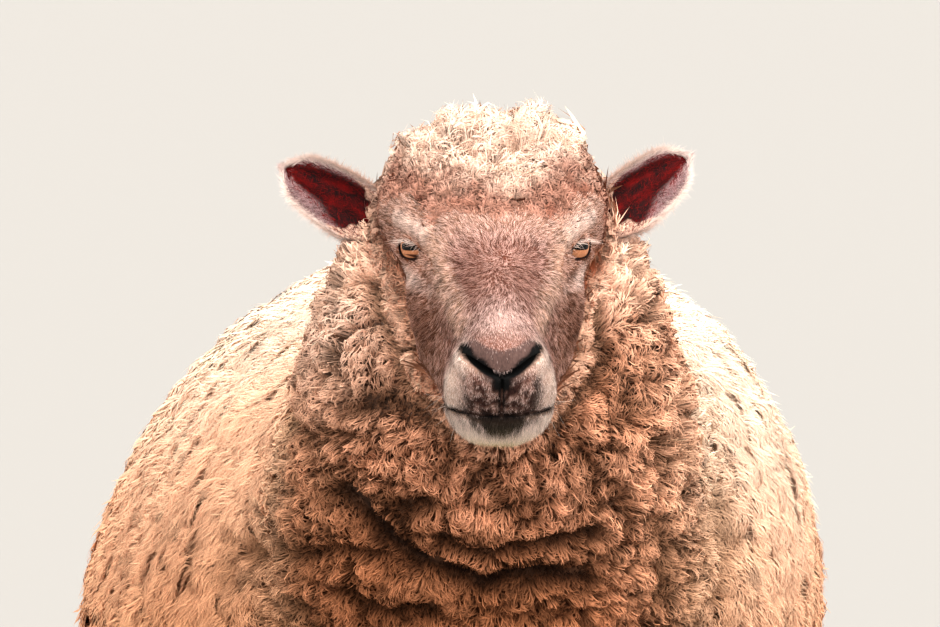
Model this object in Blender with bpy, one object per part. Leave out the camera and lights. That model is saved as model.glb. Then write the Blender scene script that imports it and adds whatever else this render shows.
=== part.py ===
"""A polled ewe in full fleece, life size, standing on four cloven feet with its head up.

Metres, +Z up. The ewe faces -Y, its left side is +X, and the soles of its feet are on z = 0. Every piece of
flesh is a loft: a row of closed cross-sections, each given by its top and bottom point in the side plane. Pieces
that meet are cut by each other with a thin gap, so the body reads as one shape, and each stays a solid of its own.
"""

import math
from collections import namedtuple

import bmesh
import bpy
from mathutils import Matrix, Vector

GAP = 0.0003

# The head's own frame has its origin midway between the eyes and looks along its own -Y
EYE_LEVEL = Vector((-0.017, -0.444, 0.750))
HEAD_PITCH = math.radians(26)
HEAD_YAW = math.radians(-3)
EYE_RADIUS = 0.0145
EYE_AROUND = 14
EYE_RINGS = 8
EYE_PLACE = Vector((0.0490, 0.0030, -0.003))

EAR_LENGTH = 0.106
EAR_HALF_WIDTH = 0.031
EAR_THICKNESS = 0.007
EAR_PLACE = Vector((0.062, 0.058, -0.026))
EAR_RISE = {"left": math.radians(33), "right": math.radians(28)}
EAR_SWEEP = math.radians(24)

FORE_FEET = {"left": Vector((0.108, -0.205, 0)), "right": Vector((-0.108, -0.170, 0))}
HIND_FEET = {"left": Vector((0.118, 0.320, 0)), "right": Vector((-0.118, 0.358, 0))}
BARREL_LEAN = 0.13
CLEFT = 0.0045
DEWCLAW_LENGTH = 0.017
DEWCLAW_RADIUS = 0.0062

WOOL = ((0.78, 0.66, 0.55), 0.95)
NECK_WOOL = ((0.50, 0.38, 0.29), 0.95)
FACE_HAIR = ((0.52, 0.36, 0.29), 0.85)
HORN_GREY = ((0.10, 0.08, 0.07), 0.55)
EYE_AMBER = ((0.42, 0.21, 0.07), 0.08)

# One cross-section: the side-plane points (y, z) of its top and its bottom, its half width, where between the
# bottom (0) and the top (1) it is widest, how square its upper and its lower half are (2 is an ellipse), and how
# far its middle stands from the side plane
Section = namedtuple("Section", "top low half_width wide upper lower x", defaults=(0.5, 2.0, 2.0, 0.0))


# ---------------------------------------------------------------- lofts


def blended(a, b, c, d, t):
    """The Catmull-Rom value at t between b and c."""
    return 0.5 * (
        2 * b + (c - a) * t + (2 * a - 5 * b + 4 * c - d) * t * t + (3 * b - a - 3 * c + d) * t**3
    )


def flat_row(section):
    return [*section.top, *section.low, *section[2:]]


def rows_through(sections, steps):
    """Rows of section numbers that pass smoothly through the given sections, this many to a span."""
    keys = [flat_row(section) for section in sections]
    rows = []
    for i in range(len(keys) - 1):
        before = keys[max(i - 1, 0)]
        after = keys[min(i + 2, len(keys) - 1)]
        for step in range(steps):
            t = step / steps
            rows.append([blended(*four, t) for four in zip(before, keys[i], keys[i + 1], after)])
    rows.append(keys[-1])
    return rows


def signed_power(value, exponent):
    return math.copysign(abs(value) ** exponent, value)


def ring_points(row, count):
    """The points of one cross-section, starting at the ewe's left."""
    top_y, top_z, low_y, low_z, half_width, wide, upper, lower, x = row
    top = Vector((0, top_y, top_z))
    low = Vector((0, low_y, low_z))
    middle = low.lerp(top, wide)
    points = []
    for k in range(count):
        angle = 2 * math.pi * k / count
        power = 2 / (upper if math.sin(angle) >= 0 else lower)
        end = top if math.sin(angle) >= 0 else low
        across = half_width * signed_power(math.cos(angle), power)
        point = middle + (end - middle) * abs(math.sin(angle)) ** power
        points.append(Vector((x + across, point.y, point.z)))
    return points


def loft_mesh(name, rings, reshape=None):
    """A closed mesh through rings of points, with a flat face at each end."""
    bm = bmesh.new()
    made = [[bm.verts.new(reshape(p) if reshape else p) for p in ring] for ring in rings]
    count = len(made[0])
    for ring, after in zip(made, made[1:]):
        for k in range(count):
            bm.faces.new((ring[k], ring[(k + 1) % count], after[(k + 1) % count], after[k]))
    bm.faces.new(made[0])
    bm.faces.new(made[-1])
    bmesh.ops.triangulate(bm, faces=bm.faces[:])
    bmesh.ops.recalc_face_normals(bm, faces=bm.faces[:])
    mesh = bpy.data.meshes.new(name)
    bm.to_mesh(mesh)
    bm.free()
    return mesh


def loft(name, sections, steps, count, reshape=None):
    rings = [ring_points(row, count) for row in rows_through(sections, steps)]
    return loft_mesh(name, rings, reshape)


# ---------------------------------------------------------------- objects and cuts


def material(name, look):
    colour, roughness = look
    made = bpy.data.materials.new(name)
    made.use_nodes = True
    shader = made.node_tree.nodes["Principled BSDF"]
    shader.inputs["Base Color"].default_value = (*colour, 1)
    shader.inputs["Roughness"].default_value = roughness
    shader.inputs["Metallic"].default_value = 0
    return made


def add(name, mesh, look=None, parent=None):
    """An object of the scene. One without a look is a cutter."""
    piece = bpy.data.objects.new(name, mesh)
    bpy.context.scene.collection.objects.link(piece)
    piece.parent = parent
    if look:
        mesh.materials.append(material(name, look))
        mesh.shade_smooth()
    else:
        piece.hide_render = True
        piece.display_type = "WIRE"
    return piece


def pocket(piece):
    """A cutter that is this piece's plain shape, grown by the gap."""
    mesh = piece.data.copy()
    bm = bmesh.new()
    bm.from_mesh(mesh)
    for vertex in bm.verts:
        vertex.co += vertex.normal * GAP * 1.2
    bm.to_mesh(mesh)
    bm.free()
    return add(piece.name + "_pocket", mesh, parent=piece.parent)


def cut(piece, *cutters, keep_inside=False):
    for cutter in cutters:
        modifier = piece.modifiers.new("cut_" + cutter.name, "BOOLEAN")
        modifier.object = cutter
        modifier.operation = "INTERSECT" if keep_inside else "DIFFERENCE"


def ellipsoid(name, place, radii, turn, parent, rings, around):
    """A cutter in the shape of an ellipsoid, turned by the given angles."""
    bm = bmesh.new()
    bmesh.ops.create_uvsphere(bm, u_segments=around, v_segments=rings, radius=1)
    turned = Matrix.Translation(place)
    for axis, angle in turn:
        turned = turned @ Matrix.Rotation(angle, 4, axis)
    bmesh.ops.transform(bm, matrix=turned @ Matrix.Diagonal((*radii, 1)), verts=bm.verts[:])
    mesh = bpy.data.meshes.new(name)
    bm.to_mesh(mesh)
    bm.free()
    return add(name, mesh, parent=parent)


def mirrored(point, side):
    return Vector((point.x if side == "left" else -point.x, point.y, point.z))


# ---------------------------------------------------------------- trunk, neck and tail


def fleece_folds(depth, pitch, lean):
    """Reshapes by shallow folds that hang across the body, deepest on its flanks."""

    def reshape(point):
        wave = math.sin(2 * math.pi * (point.y + lean * point.z) / pitch + 3 * point.z)
        cross = math.sin(2 * math.pi * (point.z - 0.4 * abs(point.x)) / (1.3 * pitch))
        outward = Vector((point.x, 0, point.z - 0.48))
        return point + outward.normalized() * depth * (wave + cross) / 2

    return reshape


def make_trunk():
    """The barrel, whose back leans a little to the ewe's left."""
    sections = [
        Section((-0.348, 0.515), (-0.345, 0.430), 0.045),
        Section((-0.333, 0.598), (-0.325, 0.360), 0.118),
        Section((-0.277, 0.666), (-0.267, 0.305), 0.184, 0.45),
        Section((-0.180, 0.708), (-0.170, 0.268), 0.231, 0.42),
        Section((-0.040, 0.722), (-0.040, 0.247), 0.261, 0.42, 1.8, 2.2),
        Section((0.110, 0.723), (0.110, 0.238), 0.274, 0.42, 1.8, 2.2),
        Section((0.250, 0.717), (0.250, 0.247), 0.271, 0.42, 1.8, 2.2),
        Section((0.365, 0.700), (0.358, 0.275), 0.250, 0.42, 1.85, 2.2),
        Section((0.445, 0.672), (0.435, 0.315), 0.210, 0.43),
        Section((0.497, 0.612), (0.488, 0.368), 0.145, 0.45),
        Section((0.515, 0.545), (0.511, 0.435), 0.062, 0.45),
    ]
    fold = fleece_folds(0.003, 0.19, 0.5)

    def reshape(point):
        leaned = point + Vector((BARREL_LEAN * (point.z - 0.44), 0, 0))
        return fold(leaned)

    return add("trunk", loft("trunk", sections, 2, 30, reshape), WOOL)


def make_neck(cutters):
    sections = [
        Section((-0.135, 0.690), (-0.165, 0.360), 0.165, 0.40, x=-0.002),
        Section((-0.200, 0.728), (-0.285, 0.345), 0.170, 0.42, x=-0.004),
        Section((-0.255, 0.758), (-0.370, 0.390), 0.160, 0.44, x=-0.007),
        Section((-0.300, 0.786), (-0.427, 0.470), 0.145, 0.46, x=-0.010),
        Section((-0.335, 0.803), (-0.457, 0.545), 0.132, 0.48, x=-0.013),
        Section((-0.363, 0.800), (-0.470, 0.600), 0.120, 0.50, x=-0.015),
        Section((-0.385, 0.775), (-0.465, 0.640), 0.090, 0.50, x=-0.017),
        Section((-0.395, 0.750), (-0.450, 0.665), 0.050, 0.50, x=-0.017),
    ]
    neck = add("neck", loft("neck", sections, 2, 22, fleece_folds(0.005, 0.085, -0.35)), NECK_WOOL)
    wrap = pocket(neck)
    cut(neck, *cutters)
    return neck, wrap


def make_tail(cutter):
    """A docked tail, hanging as a short woolly tassel against the rump."""
    sections = [
        Section((0.505, 0.640), (0.440, 0.650), 0.018),
        Section((0.538, 0.612), (0.460, 0.615), 0.030),
        Section((0.558, 0.570), (0.480, 0.570), 0.038),
        Section((0.565, 0.525), (0.490, 0.520), 0.040),
        Section((0.562, 0.482), (0.500, 0.478), 0.032),
        Section((0.550, 0.458), (0.520, 0.456), 0.014),
    ]
    tail = add("tail", loft("tail", sections, 1, 14), WOOL)
    cut(tail, cutter)
    return tail


# ---------------------------------------------------------------- head


def brow_and_cheek(point):
    """Reshapes the head by its brow ridges, the hollows before the eyes and the ridge of the cheek."""
    side = math.copysign(1, point.x)
    brow = Vector((side * 0.062, 0.004, 0.019))
    hollow = Vector((side * 0.052, -0.030, 0.004))
    crest = Vector((side * 0.056, -0.020, -0.040))
    moved = point.copy()
    for centre, reach, push in ((brow, 0.024, 0.005), (hollow, 0.022, -0.004), (crest, 0.030, 0.002)):
        fall = math.exp(-(((point - centre).length / reach) ** 2))
        moved.x += side * push * fall
    return moved


def head_sections():
    """From the back of the woolly crown to the lips; the head looks along its own -Y."""
    return [
        Section((0.140, 0.000), (0.125, -0.060), 0.040),
        Section((0.128, 0.030), (0.105, -0.085), 0.066, 0.55),
        Section((0.105, 0.047), (0.078, -0.100), 0.078, 0.60),
        Section((0.072, 0.054), (0.052, -0.105), 0.081, 0.64, 2.1, 1.9),
        Section((0.038, 0.050), (0.025, -0.107), 0.076, 0.66, 2.2, 1.9),
        Section((0.008, 0.041), (0.003, -0.106), 0.0610, 0.62, 2.4, 2.0),
        Section((-0.022, 0.035), (-0.020, -0.103), 0.0565, 0.56, 2.4, 2.0),
        Section((-0.052, 0.029), (-0.045, -0.099), 0.0530, 0.52, 2.2, 2.0),
        Section((-0.080, 0.0215), (-0.068, -0.096), 0.0440, 0.48, 2.0, 2.0),
        Section((-0.103, 0.0145), (-0.088, -0.094), 0.0375, 0.46, 2.0, 2.1),
        Section((-0.122, 0.0080), (-0.104, -0.092), 0.0360, 0.44, 2.0, 2.3),
        Section((-0.136, -0.0010), (-0.116, -0.086), 0.0330, 0.44, 2.1, 2.3),
        Section((-0.1450, -0.0130), (-0.126, -0.076), 0.0250, 0.46, 2.1, 2.2),
        Section((-0.1490, -0.0270), (-0.138, -0.060), 0.0120, 0.50),
    ]


def prism(name, outline, half_width, parent):
    """A cutter: a side outline of (y, z) points carried across the head."""
    bm = bmesh.new()
    near = [bm.verts.new((-half_width, y, z)) for y, z in outline]
    far = [bm.verts.new((half_width, y, z)) for y, z in outline]
    bm.faces.new(near)
    bm.faces.new(far)
    for k in range(len(outline)):
        after = (k + 1) % len(outline)
        bm.faces.new((near[k], near[after], far[after], far[k]))
    bmesh.ops.recalc_face_normals(bm, faces=bm.faces[:])
    mesh = bpy.data.meshes.new(name)
    bm.to_mesh(mesh)
    bm.free()
    return add(name, mesh, parent=parent)


def jaw_outline(drop):
    """The jaw's region in side view: the mouth slit, the line under the cheek, then well clear of the chin."""
    slit = [(-0.190, -0.030), (-0.146, -0.043), (-0.120, -0.054), (-0.088, -0.064)]
    under_cheek = [(-0.040, -0.074), (0.000, -0.084), (0.030, -0.100)]
    clear = [(0.030, -0.140), (-0.190, -0.140)]
    return [(y, z - drop) for y, z in slit + under_cheek] + clear


def make_head(frame):
    """The head with the wool of its crown, and the lower jaw under it."""
    head = add("head", loft("head", head_sections(), 2, 28, brow_and_cheek), FACE_HAIR, frame)
    jaw = add("lower_jaw", loft("lower_jaw", head_sections(), 2, 28, brow_and_cheek), FACE_HAIR, frame)
    wrap = pocket(head)
    cut(head, prism("jaw_space", jaw_outline(0), 0.1, frame))
    cut(jaw, prism("jaw_reach", jaw_outline(GAP), 0.1, frame), keep_inside=True)
    for side in ("left", "right"):
        sign = 1 if side == "left" else -1
        socket_radii = (EYE_RADIUS + GAP,) * 3
        place = mirrored(EYE_PLACE, side)
        socket = ellipsoid(f"socket_{side}", place, socket_radii, [], frame, EYE_RINGS, EYE_AROUND)
        nostril = ellipsoid(
            f"nostril_{side}",
            Vector((sign * 0.0205, -0.1400, -0.0070)),
            (0.0105, 0.0090, 0.0030),
            [("Y", sign * math.radians(-38)), ("Z", sign * math.radians(-25))],
            frame,
            6,
            10,
        )
        cut(head, socket, nostril)
    return head, jaw, wrap


def make_eye(side, frame):
    bm = bmesh.new()
    bmesh.ops.create_uvsphere(bm, u_segments=EYE_AROUND, v_segments=EYE_RINGS, radius=EYE_RADIUS)
    mesh = bpy.data.meshes.new(f"eye_{side}")
    bm.to_mesh(mesh)
    bm.free()
    eye = add(f"eye_{side}", mesh, EYE_AMBER, frame)
    eye.location = mirrored(EYE_PLACE, side)
    return eye


def ear_point(along, across, face):
    """A point of the ear: a leaf cupped like a hand, its hollow towards its own -Y and its length along +X."""
    width = EAR_HALF_WIDTH * (0.42 + 0.58 * math.sin(math.pi * min(along, 1) ** 0.85) ** 0.7)
    if along > 0.62:
        width *= math.sqrt(max(0, 1 - ((along - 0.62) / 0.40) ** 2.2))
    cup = 1.15 * (1 - along) + 0.45
    bend = across * cup
    depth = width * (1 - math.cos(bend)) / cup
    height = width * math.sin(bend) / cup
    thick = EAR_THICKNESS * (1 - 0.55 * along) * (1 - 0.55 * across * across)
    curl_back = 0.012 * along * along
    return Vector((along * EAR_LENGTH, -depth + curl_back + face * thick / 2, height))


def make_ear(side, frame, cutters):
    along_steps, across_steps = 11, 8
    rings = []
    for i in range(along_steps + 1):
        along = i / along_steps
        over = [2 * k / across_steps - 1 for k in range(across_steps + 1)]
        front = [ear_point(along, a, -1) for a in over]
        back = [ear_point(along, a, 1) for a in reversed(over)]
        rings.append(front + back)
    sign = 1 if side == "left" else -1
    turn = Matrix.Rotation(-EAR_RISE[side], 4, "Y") @ Matrix.Rotation(EAR_SWEEP, 4, "Z")
    untilt = Matrix.Rotation(-HEAD_PITCH, 4, "X")
    place = Matrix.Translation(EAR_PLACE) @ untilt @ turn
    flip = Matrix.Diagonal((sign, 1, 1, 1))
    mesh = loft_mesh(f"ear_{side}", rings, lambda point: flip @ place @ point)
    ear = add(f"ear_{side}", mesh, FACE_HAIR, frame)
    cut(ear, *cutters)
    return ear


# ---------------------------------------------------------------- legs and feet


def foot_sections():
    """From the fetlock down the sloping pastern to the coronet, round the foot's own upright."""
    return [
        Section((-0.0215, 0.092), (0.0235, 0.088), 0.0205),
        Section((-0.0265, 0.071), (0.0150, 0.073), 0.0190),
        Section((-0.0340, 0.054), (0.0060, 0.052), 0.0180),
        Section((-0.0430, 0.0415), (0.0045, 0.0250), 0.0235),
    ]


def fore_leg_sections():
    return [
        Section((-0.070, 0.440), (0.066, 0.440), 0.056),
        Section((-0.063, 0.350), (0.060, 0.350), 0.052),
        Section((-0.048, 0.295), (0.046, 0.295), 0.041),
        Section((-0.033, 0.258), (0.030, 0.258), 0.030),
        Section((-0.031, 0.232), (0.027, 0.232), 0.028),
        Section((-0.023, 0.203), (0.022, 0.203), 0.022),
        Section((-0.018, 0.160), (0.019, 0.160), 0.0170),
        Section((-0.0175, 0.118), (0.0185, 0.118), 0.0165),
        *foot_sections(),
    ]


def hind_leg_sections():
    return [
        Section((-0.105, 0.470), (0.085, 0.470), 0.060),
        Section((-0.095, 0.400), (0.092, 0.400), 0.060),
        Section((-0.070, 0.345), (0.082, 0.345), 0.052),
        Section((-0.038, 0.302), (0.065, 0.302), 0.038),
        Section((-0.022, 0.270), (0.055, 0.274), 0.028),
        Section((-0.018, 0.238), (0.042, 0.240), 0.025),
        Section((-0.017, 0.205), (0.030, 0.205), 0.020),
        Section((-0.0165, 0.160), (0.0235, 0.160), 0.0170),
        Section((-0.0175, 0.118), (0.0205, 0.118), 0.0170),
        *foot_sections(),
    ]


def claw_outline(inset):
    """One claw of the left foot seen from above, outer side first: (across, along) with the toe at along = 1."""
    outer = []
    for k in range(7):
        t = k / 6
        bulge = math.sin(math.pi * (0.20 + 0.72 * t)) ** 0.6
        outer.append((CLEFT / 2 + (0.0225 - inset) * bulge, t))
    inner = [(CLEFT / 2, 0.80), (CLEFT / 2, 0.45), (CLEFT / 2, 0.12)]
    return outer + inner


def make_claw(name, foot, sign):
    """A cloven foot's half: a flat sole, a wall that slopes back, and a top that fits under the coronet."""
    coronet = foot_sections()[-1]
    drop = 1.15 * GAP
    levels = [
        ((0.0055, 0.0), (-0.0570, 0.0), 0.0),
        ((0.0070, 0.011), (-0.0530, 0.013), 0.0003),
        ((coronet.low[0] - 0.001, coronet.low[1] - drop), (coronet.top[0], coronet.top[1] - drop), 0.0030),
    ]
    rings = []
    for heel, toe, inset in levels:
        ring = []
        for across, along in claw_outline(inset):
            y = heel[0] + (toe[0] - heel[0]) * along
            z = heel[1] + (toe[1] - heel[1]) * along
            ring.append(foot + Vector((sign * across, y, z)))
        rings.append(ring)
    return add(name, loft_mesh(name, rings), HORN_GREY)


def make_dewclaw(name, foot, sign, cutter):
    """A small blunt cone behind the fetlock."""
    bm = bmesh.new()
    turned = Matrix.Rotation(math.radians(158), 4, "X")
    bmesh.ops.create_cone(
        bm,
        segments=8,
        radius1=DEWCLAW_RADIUS,
        radius2=0.45 * DEWCLAW_RADIUS,
        depth=DEWCLAW_LENGTH,
        cap_ends=True,
        matrix=Matrix.Translation(foot + Vector((sign * 0.0115, 0.0180, 0.0770))) @ turned,
    )
    bmesh.ops.triangulate(bm, faces=bm.faces[:])
    mesh = bpy.data.meshes.new(name)
    bm.to_mesh(mesh)
    bm.free()
    dewclaw = add(name, mesh, HORN_GREY)
    cut(dewclaw, cutter)
    return dewclaw


def make_leg(end, side, foot, sections, trunk_pocket):
    """A leg with the wool of its upper part, its two claws and its two dewclaws."""
    sign = 1 if side == "left" else -1
    name = f"leg_{end}_{side}"

    def placed(point):
        lean_in = 0.030 * max(0, point.z - 0.10) / 0.30
        return point + foot + Vector((sign * lean_in, 0, 0))

    leg = add(name, loft(name, sections, 2, 12, placed), WOOL)
    grown = pocket(leg)
    cut(leg, trunk_pocket)
    for half, half_sign in (("outer", sign), ("inner", -sign)):
        make_claw(f"claw_{end}_{side}_{half}", foot, half_sign)
        make_dewclaw(f"dewclaw_{end}_{side}_{half}", foot, half_sign, grown)
    return leg


# ---------------------------------------------------------------- the ewe


def clear_scene():
    for thing in list(bpy.data.objects):
        bpy.data.objects.remove(thing)


def make_ewe():
    clear_scene()
    trunk = make_trunk()
    trunk_pocket = pocket(trunk)
    head_frame = bpy.data.objects.new("head_frame", None)
    bpy.context.scene.collection.objects.link(head_frame)
    head_frame.location = EYE_LEVEL
    head_frame.rotation_euler = (HEAD_PITCH, 0, HEAD_YAW)
    _, _, head_wrap = make_head(head_frame)
    _, neck_wrap = make_neck([trunk_pocket, head_wrap])
    for side in ("left", "right"):
        make_eye(side, head_frame)
        make_ear(side, head_frame, [head_wrap, neck_wrap])
    make_tail(trunk_pocket)
    for side in ("left", "right"):
        make_leg("fore", side, FORE_FEET[side], fore_leg_sections(), trunk_pocket)
        make_leg("hind", side, HIND_FEET[side], hind_leg_sections(), trunk_pocket)


make_ewe()
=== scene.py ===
"""The looks of a polled ewe in full fleece: one skin, the locks of its coat, its eyes and its hooves.

Metres, +Z up. The ewe faces -Y and its left side is +X. The head has a frame of its own, whose origin
lies between the eyes and which looks along its own -Y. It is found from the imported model, and the places
of the face are given in it.
"""

import itertools
import math

import bmesh
import bpy
import numpy as np
from mathutils import Matrix, Vector
from mathutils.bvhtree import BVHTree


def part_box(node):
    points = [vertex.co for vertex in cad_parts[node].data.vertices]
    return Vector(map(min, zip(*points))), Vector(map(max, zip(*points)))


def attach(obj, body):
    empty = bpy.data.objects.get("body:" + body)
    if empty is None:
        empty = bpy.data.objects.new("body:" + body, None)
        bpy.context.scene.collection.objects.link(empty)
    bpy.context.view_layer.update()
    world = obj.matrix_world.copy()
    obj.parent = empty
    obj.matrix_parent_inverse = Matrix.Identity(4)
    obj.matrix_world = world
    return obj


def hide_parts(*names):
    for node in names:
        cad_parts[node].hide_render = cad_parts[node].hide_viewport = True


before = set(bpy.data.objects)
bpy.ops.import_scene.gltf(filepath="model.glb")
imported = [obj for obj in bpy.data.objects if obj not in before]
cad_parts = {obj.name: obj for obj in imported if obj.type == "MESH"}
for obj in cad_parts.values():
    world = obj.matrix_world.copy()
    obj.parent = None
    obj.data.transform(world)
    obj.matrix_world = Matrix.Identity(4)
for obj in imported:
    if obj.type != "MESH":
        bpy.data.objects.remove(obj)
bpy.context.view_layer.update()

BODY = "root"
BAKE_MAP = "OFBake"
TINT = "tint"
FEET = [(end, side) for end in ("fore", "hind") for side in ("left", "right")]
SIDES = {"left": 1, "right": -1}

# The head's frame
HEAD_PITCH = math.radians(26)
EYE_RADIUS = 0.0145
EYE_PLACE = Vector((0.0490, 0.0030, -0.0030))
GAZE = Vector((0.68, -0.71, 0.17)).normalized()
GAZE_SPREAD = math.radians(38)
INNER_CORNER = Vector((0.68, -0.66, 0.22))
LID_THICKNESS = 0.0012
LID_HALF_LENGTH = 0.0126
LID_UP = 0.0055
LID_DOWN = 0.0050
LID_DROOP = 0.0020
SOCKET_GAP = 0.0002
CORNEA_BULGE = 0.0009
PUPIL_HALF_LENGTH = 0.0066
PUPIL_HALF_HEIGHT = 0.0026
# The hair of the face runs outwards from here
WHORL = np.array((0.0, -0.066, 0.025))
# From the face towards someone standing in front of the ewe
TO_VIEWER = np.array((-0.035, -0.857, 0.515))

EAR_LENGTH = 0.1015
EAR_HALF_WIDTH = 0.0272
EAR_THICKNESS = 0.0056
EAR_ROOT = -0.22
EAR_PLACE = Vector((0.062, 0.058, -0.026))
EAR_RISE = {"left": math.radians(33), "right": math.radians(28)}
EAR_SWEEP = math.radians(24)

# Depths of the coat, from the skin to the tips
BODY_WOOL = 0.024
CROWN_WOOL = 0.015
TAIL_WOOL = 0.014
LEG_WOOL = 0.012
SHORT_HAIR = 0.0010

# How finely each part of the skin is meshed
CORE_VOXEL = 0.0085
HEAD_VOXEL = 0.00165
LEG_VOXEL = 0.0036
HORN_VOXEL = 0.0016

# How far one skin dips under another where they cross, and how far the finer skins of the head and legs
# stand out
HIDDEN_BY = 0.003
STAND_OUT = 0.0005

# How many strands and hairs there are, how many strands one piece of wool may hold, and the size of the
# patch of the bake map that each strand or hair is given
STRAND_COUNT = 250_000
FACE_HAIRS = 140_000
LEG_HAIRS = 24_000
EAR_HAIRS = 22_000
LASHES = 90
WHISKERS = 26
PIECE_STRANDS = 38_000
PATCH = 0.003


# ---------------------------------------------------------------- sums on arrays of points


def unit(vectors):
    return vectors / np.maximum(np.linalg.norm(vectors, axis=-1, keepdims=True), 1e-12)


def dots(a, b):
    return (a * b).sum(-1, keepdims=True)


def flattened(vectors, normals):
    """What is left of each vector along the surface with this normal."""
    return vectors - dots(vectors, normals) * normals


def ramp(low, high, value):
    """0 below low and 1 above high, with a smooth step between them."""
    t = np.clip((value - low) / (high - low), 0, 1)
    return t * t * (3 - 2 * t)


def mixed(a, b, share):
    share = np.asarray(share)[..., None]
    return np.asarray(a) * (1 - share) + np.asarray(b) * share


def mirrored(q):
    """Points of the head brought over to its left side."""
    return np.stack([np.abs(q[:, 0]), q[:, 1], q[:, 2]], -1)


def moved(points, matrix):
    world = np.array(matrix)
    return points @ world[:3, :3].T + world[:3, 3]


def colour(red, green, blue):
    """A linear colour from the usual 0 to 255 scale."""
    return np.array([(c / 255) ** 2.2 for c in (red, green, blue)])


def hashed(cells, seed):
    """A steady random number from 0 to 1 for each cell of a lattice."""
    bits = (cells * np.array([73856093, 19349663, 83492791], np.int64)).sum(-1) + seed * 40503
    bits &= 0xFFFFFFFF
    for factor in (2246822519, 3266489917):
        bits ^= bits >> 15
        bits = (bits * factor) & 0xFFFFFFFF
    return (bits ^ (bits >> 16)) / 0xFFFFFFFF


def noise(points, size, seed):
    """Smooth noise from -1 to 1, with bumps of this size."""
    scaled = points / size
    cells = np.floor(scaled).astype(np.int64)
    t = scaled - cells
    t = t * t * (3 - 2 * t)
    total = np.zeros(len(points))
    for corner in itertools.product((0, 1), repeat=3):
        weight = np.prod(np.where(np.array(corner) == 1, t, 1 - t), axis=-1)
        total += weight * hashed(cells + np.array(corner), seed)
    return 2 * total - 1


def noise_vectors(points, size, seed):
    return np.stack([noise(points, size, seed + k) for k in range(3)], -1)


def legs_apart(points, path):
    """For each leg of a broken line, what parts each point from the nearest place on that leg."""
    keys = np.array(path, float)
    for a, b in zip(keys, keys[1:]):
        t = np.clip(((points - a) @ (b - a)) / ((b - a) @ (b - a)), 0, 1)
        yield points - a - t[:, None] * (b - a)


def gap_to_path(points, path):
    """How far each point is from a broken line."""
    best = np.full(len(points), np.inf)
    for off in legs_apart(points, path):
        best = np.minimum(best, np.linalg.norm(off, axis=-1))
    return best


def near_to(q, centre, reach):
    """1 at the centre, about a third at the reach, and fading to 0 beyond it."""
    return np.exp(-(((q - np.array(centre)) / np.array(reach)) ** 2).sum(-1))


def nearest_lock(points, size, seed):
    """The centre of the lock that each point belongs to, and a random number of that lock."""
    cells = np.floor(points / size[:, None]).astype(np.int64)
    best = np.full(len(points), np.inf)
    centre = np.zeros_like(points)
    number = np.zeros(len(points))
    for step in itertools.product((-1, 0, 1), repeat=3):
        near = cells + np.array(step)
        jitter = np.stack([hashed(near, seed + k) for k in range(3)], -1)
        seeds = (near + 0.1 + 0.8 * jitter) * size[:, None]
        gap = ((points - seeds) ** 2).sum(-1)
        closer = gap < best
        best[closer] = gap[closer]
        centre[closer] = seeds[closer]
        number[closer] = hashed(near[closer], seed + 7)
    return centre, number


# ---------------------------------------------------------------- meshes


def mesh_of(name, points, faces):
    """A mesh from arrays; each face has as many corners as the array has columns."""
    mesh = bpy.data.meshes.new(name)
    mesh.vertices.add(len(points))
    mesh.vertices.foreach_set("co", np.asarray(points, np.float32).ravel())
    mesh.loops.add(faces.size)
    mesh.loops.foreach_set("vertex_index", faces.astype(np.int32).ravel())
    mesh.polygons.add(len(faces))
    starts = np.arange(0, faces.size, faces.shape[1], dtype=np.int32)
    mesh.polygons.foreach_set("loop_start", starts)
    mesh.update(calc_edges=True)
    return mesh


def add(name, data):
    piece = bpy.data.objects.new(name, data)
    bpy.context.scene.collection.objects.link(piece)
    return piece


def piece_of(name, bm):
    mesh = bpy.data.meshes.new(name)
    bm.to_mesh(mesh)
    bm.free()
    return add(name, mesh)


def tube(name, points, around, merge=0.0):
    """A closed tube, whose points are rings of this many; with merge, points so near become one."""
    bm = bmesh.new()
    corners = [bm.verts.new(p) for p in points]
    for low in range(0, len(corners) - around, around):
        for a in range(around):
            b = (a + 1) % around
            quad = (low + a, low + b, low + around + b, low + around + a)
            bm.faces.new([corners[i] for i in quad])
    bm.faces.new(corners[:around])
    bm.faces.new(corners[-around:])
    if merge:
        bmesh.ops.triangulate(bm, faces=bm.faces[:])
        bmesh.ops.remove_doubles(bm, verts=bm.verts[:], dist=merge)
    bmesh.ops.recalc_face_normals(bm, faces=bm.faces[:])
    return piece_of(name, bm)


def numbers(items, field, width, kind=np.float32):
    values = np.empty(len(items) * width, kind)
    items.foreach_get(field, values)
    return values.reshape(-1, width) if width > 1 else values


def points_of(mesh):
    return numbers(mesh.vertices, "co", 3).astype(np.float64)


def normals_of(mesh):
    return numbers(mesh.vertex_normals, "vector", 3).astype(np.float64)


def triangles_of(mesh):
    mesh.calc_loop_triangles()
    return numbers(mesh.loop_triangles, "vertices", 3, np.int32)


def set_points(mesh, points):
    mesh.vertices.foreach_set("co", np.asarray(points, np.float32).ravel())
    mesh.update()


def set_tint(mesh, colours):
    layer = mesh.color_attributes.new(TINT, "FLOAT_COLOR", "POINT")
    full = np.ones((len(colours), 4), np.float32)
    full[:, :3] = np.clip(colours, 0.002, 1)
    layer.data.foreach_set("color", full.ravel())


def settled(piece):
    """The piece with its modifiers worked into its mesh."""
    graph = bpy.context.evaluated_depsgraph_get()
    mesh = bpy.data.meshes.new_from_object(piece.evaluated_get(graph))
    piece.modifiers.clear()
    piece.data = mesh
    return piece


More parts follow.
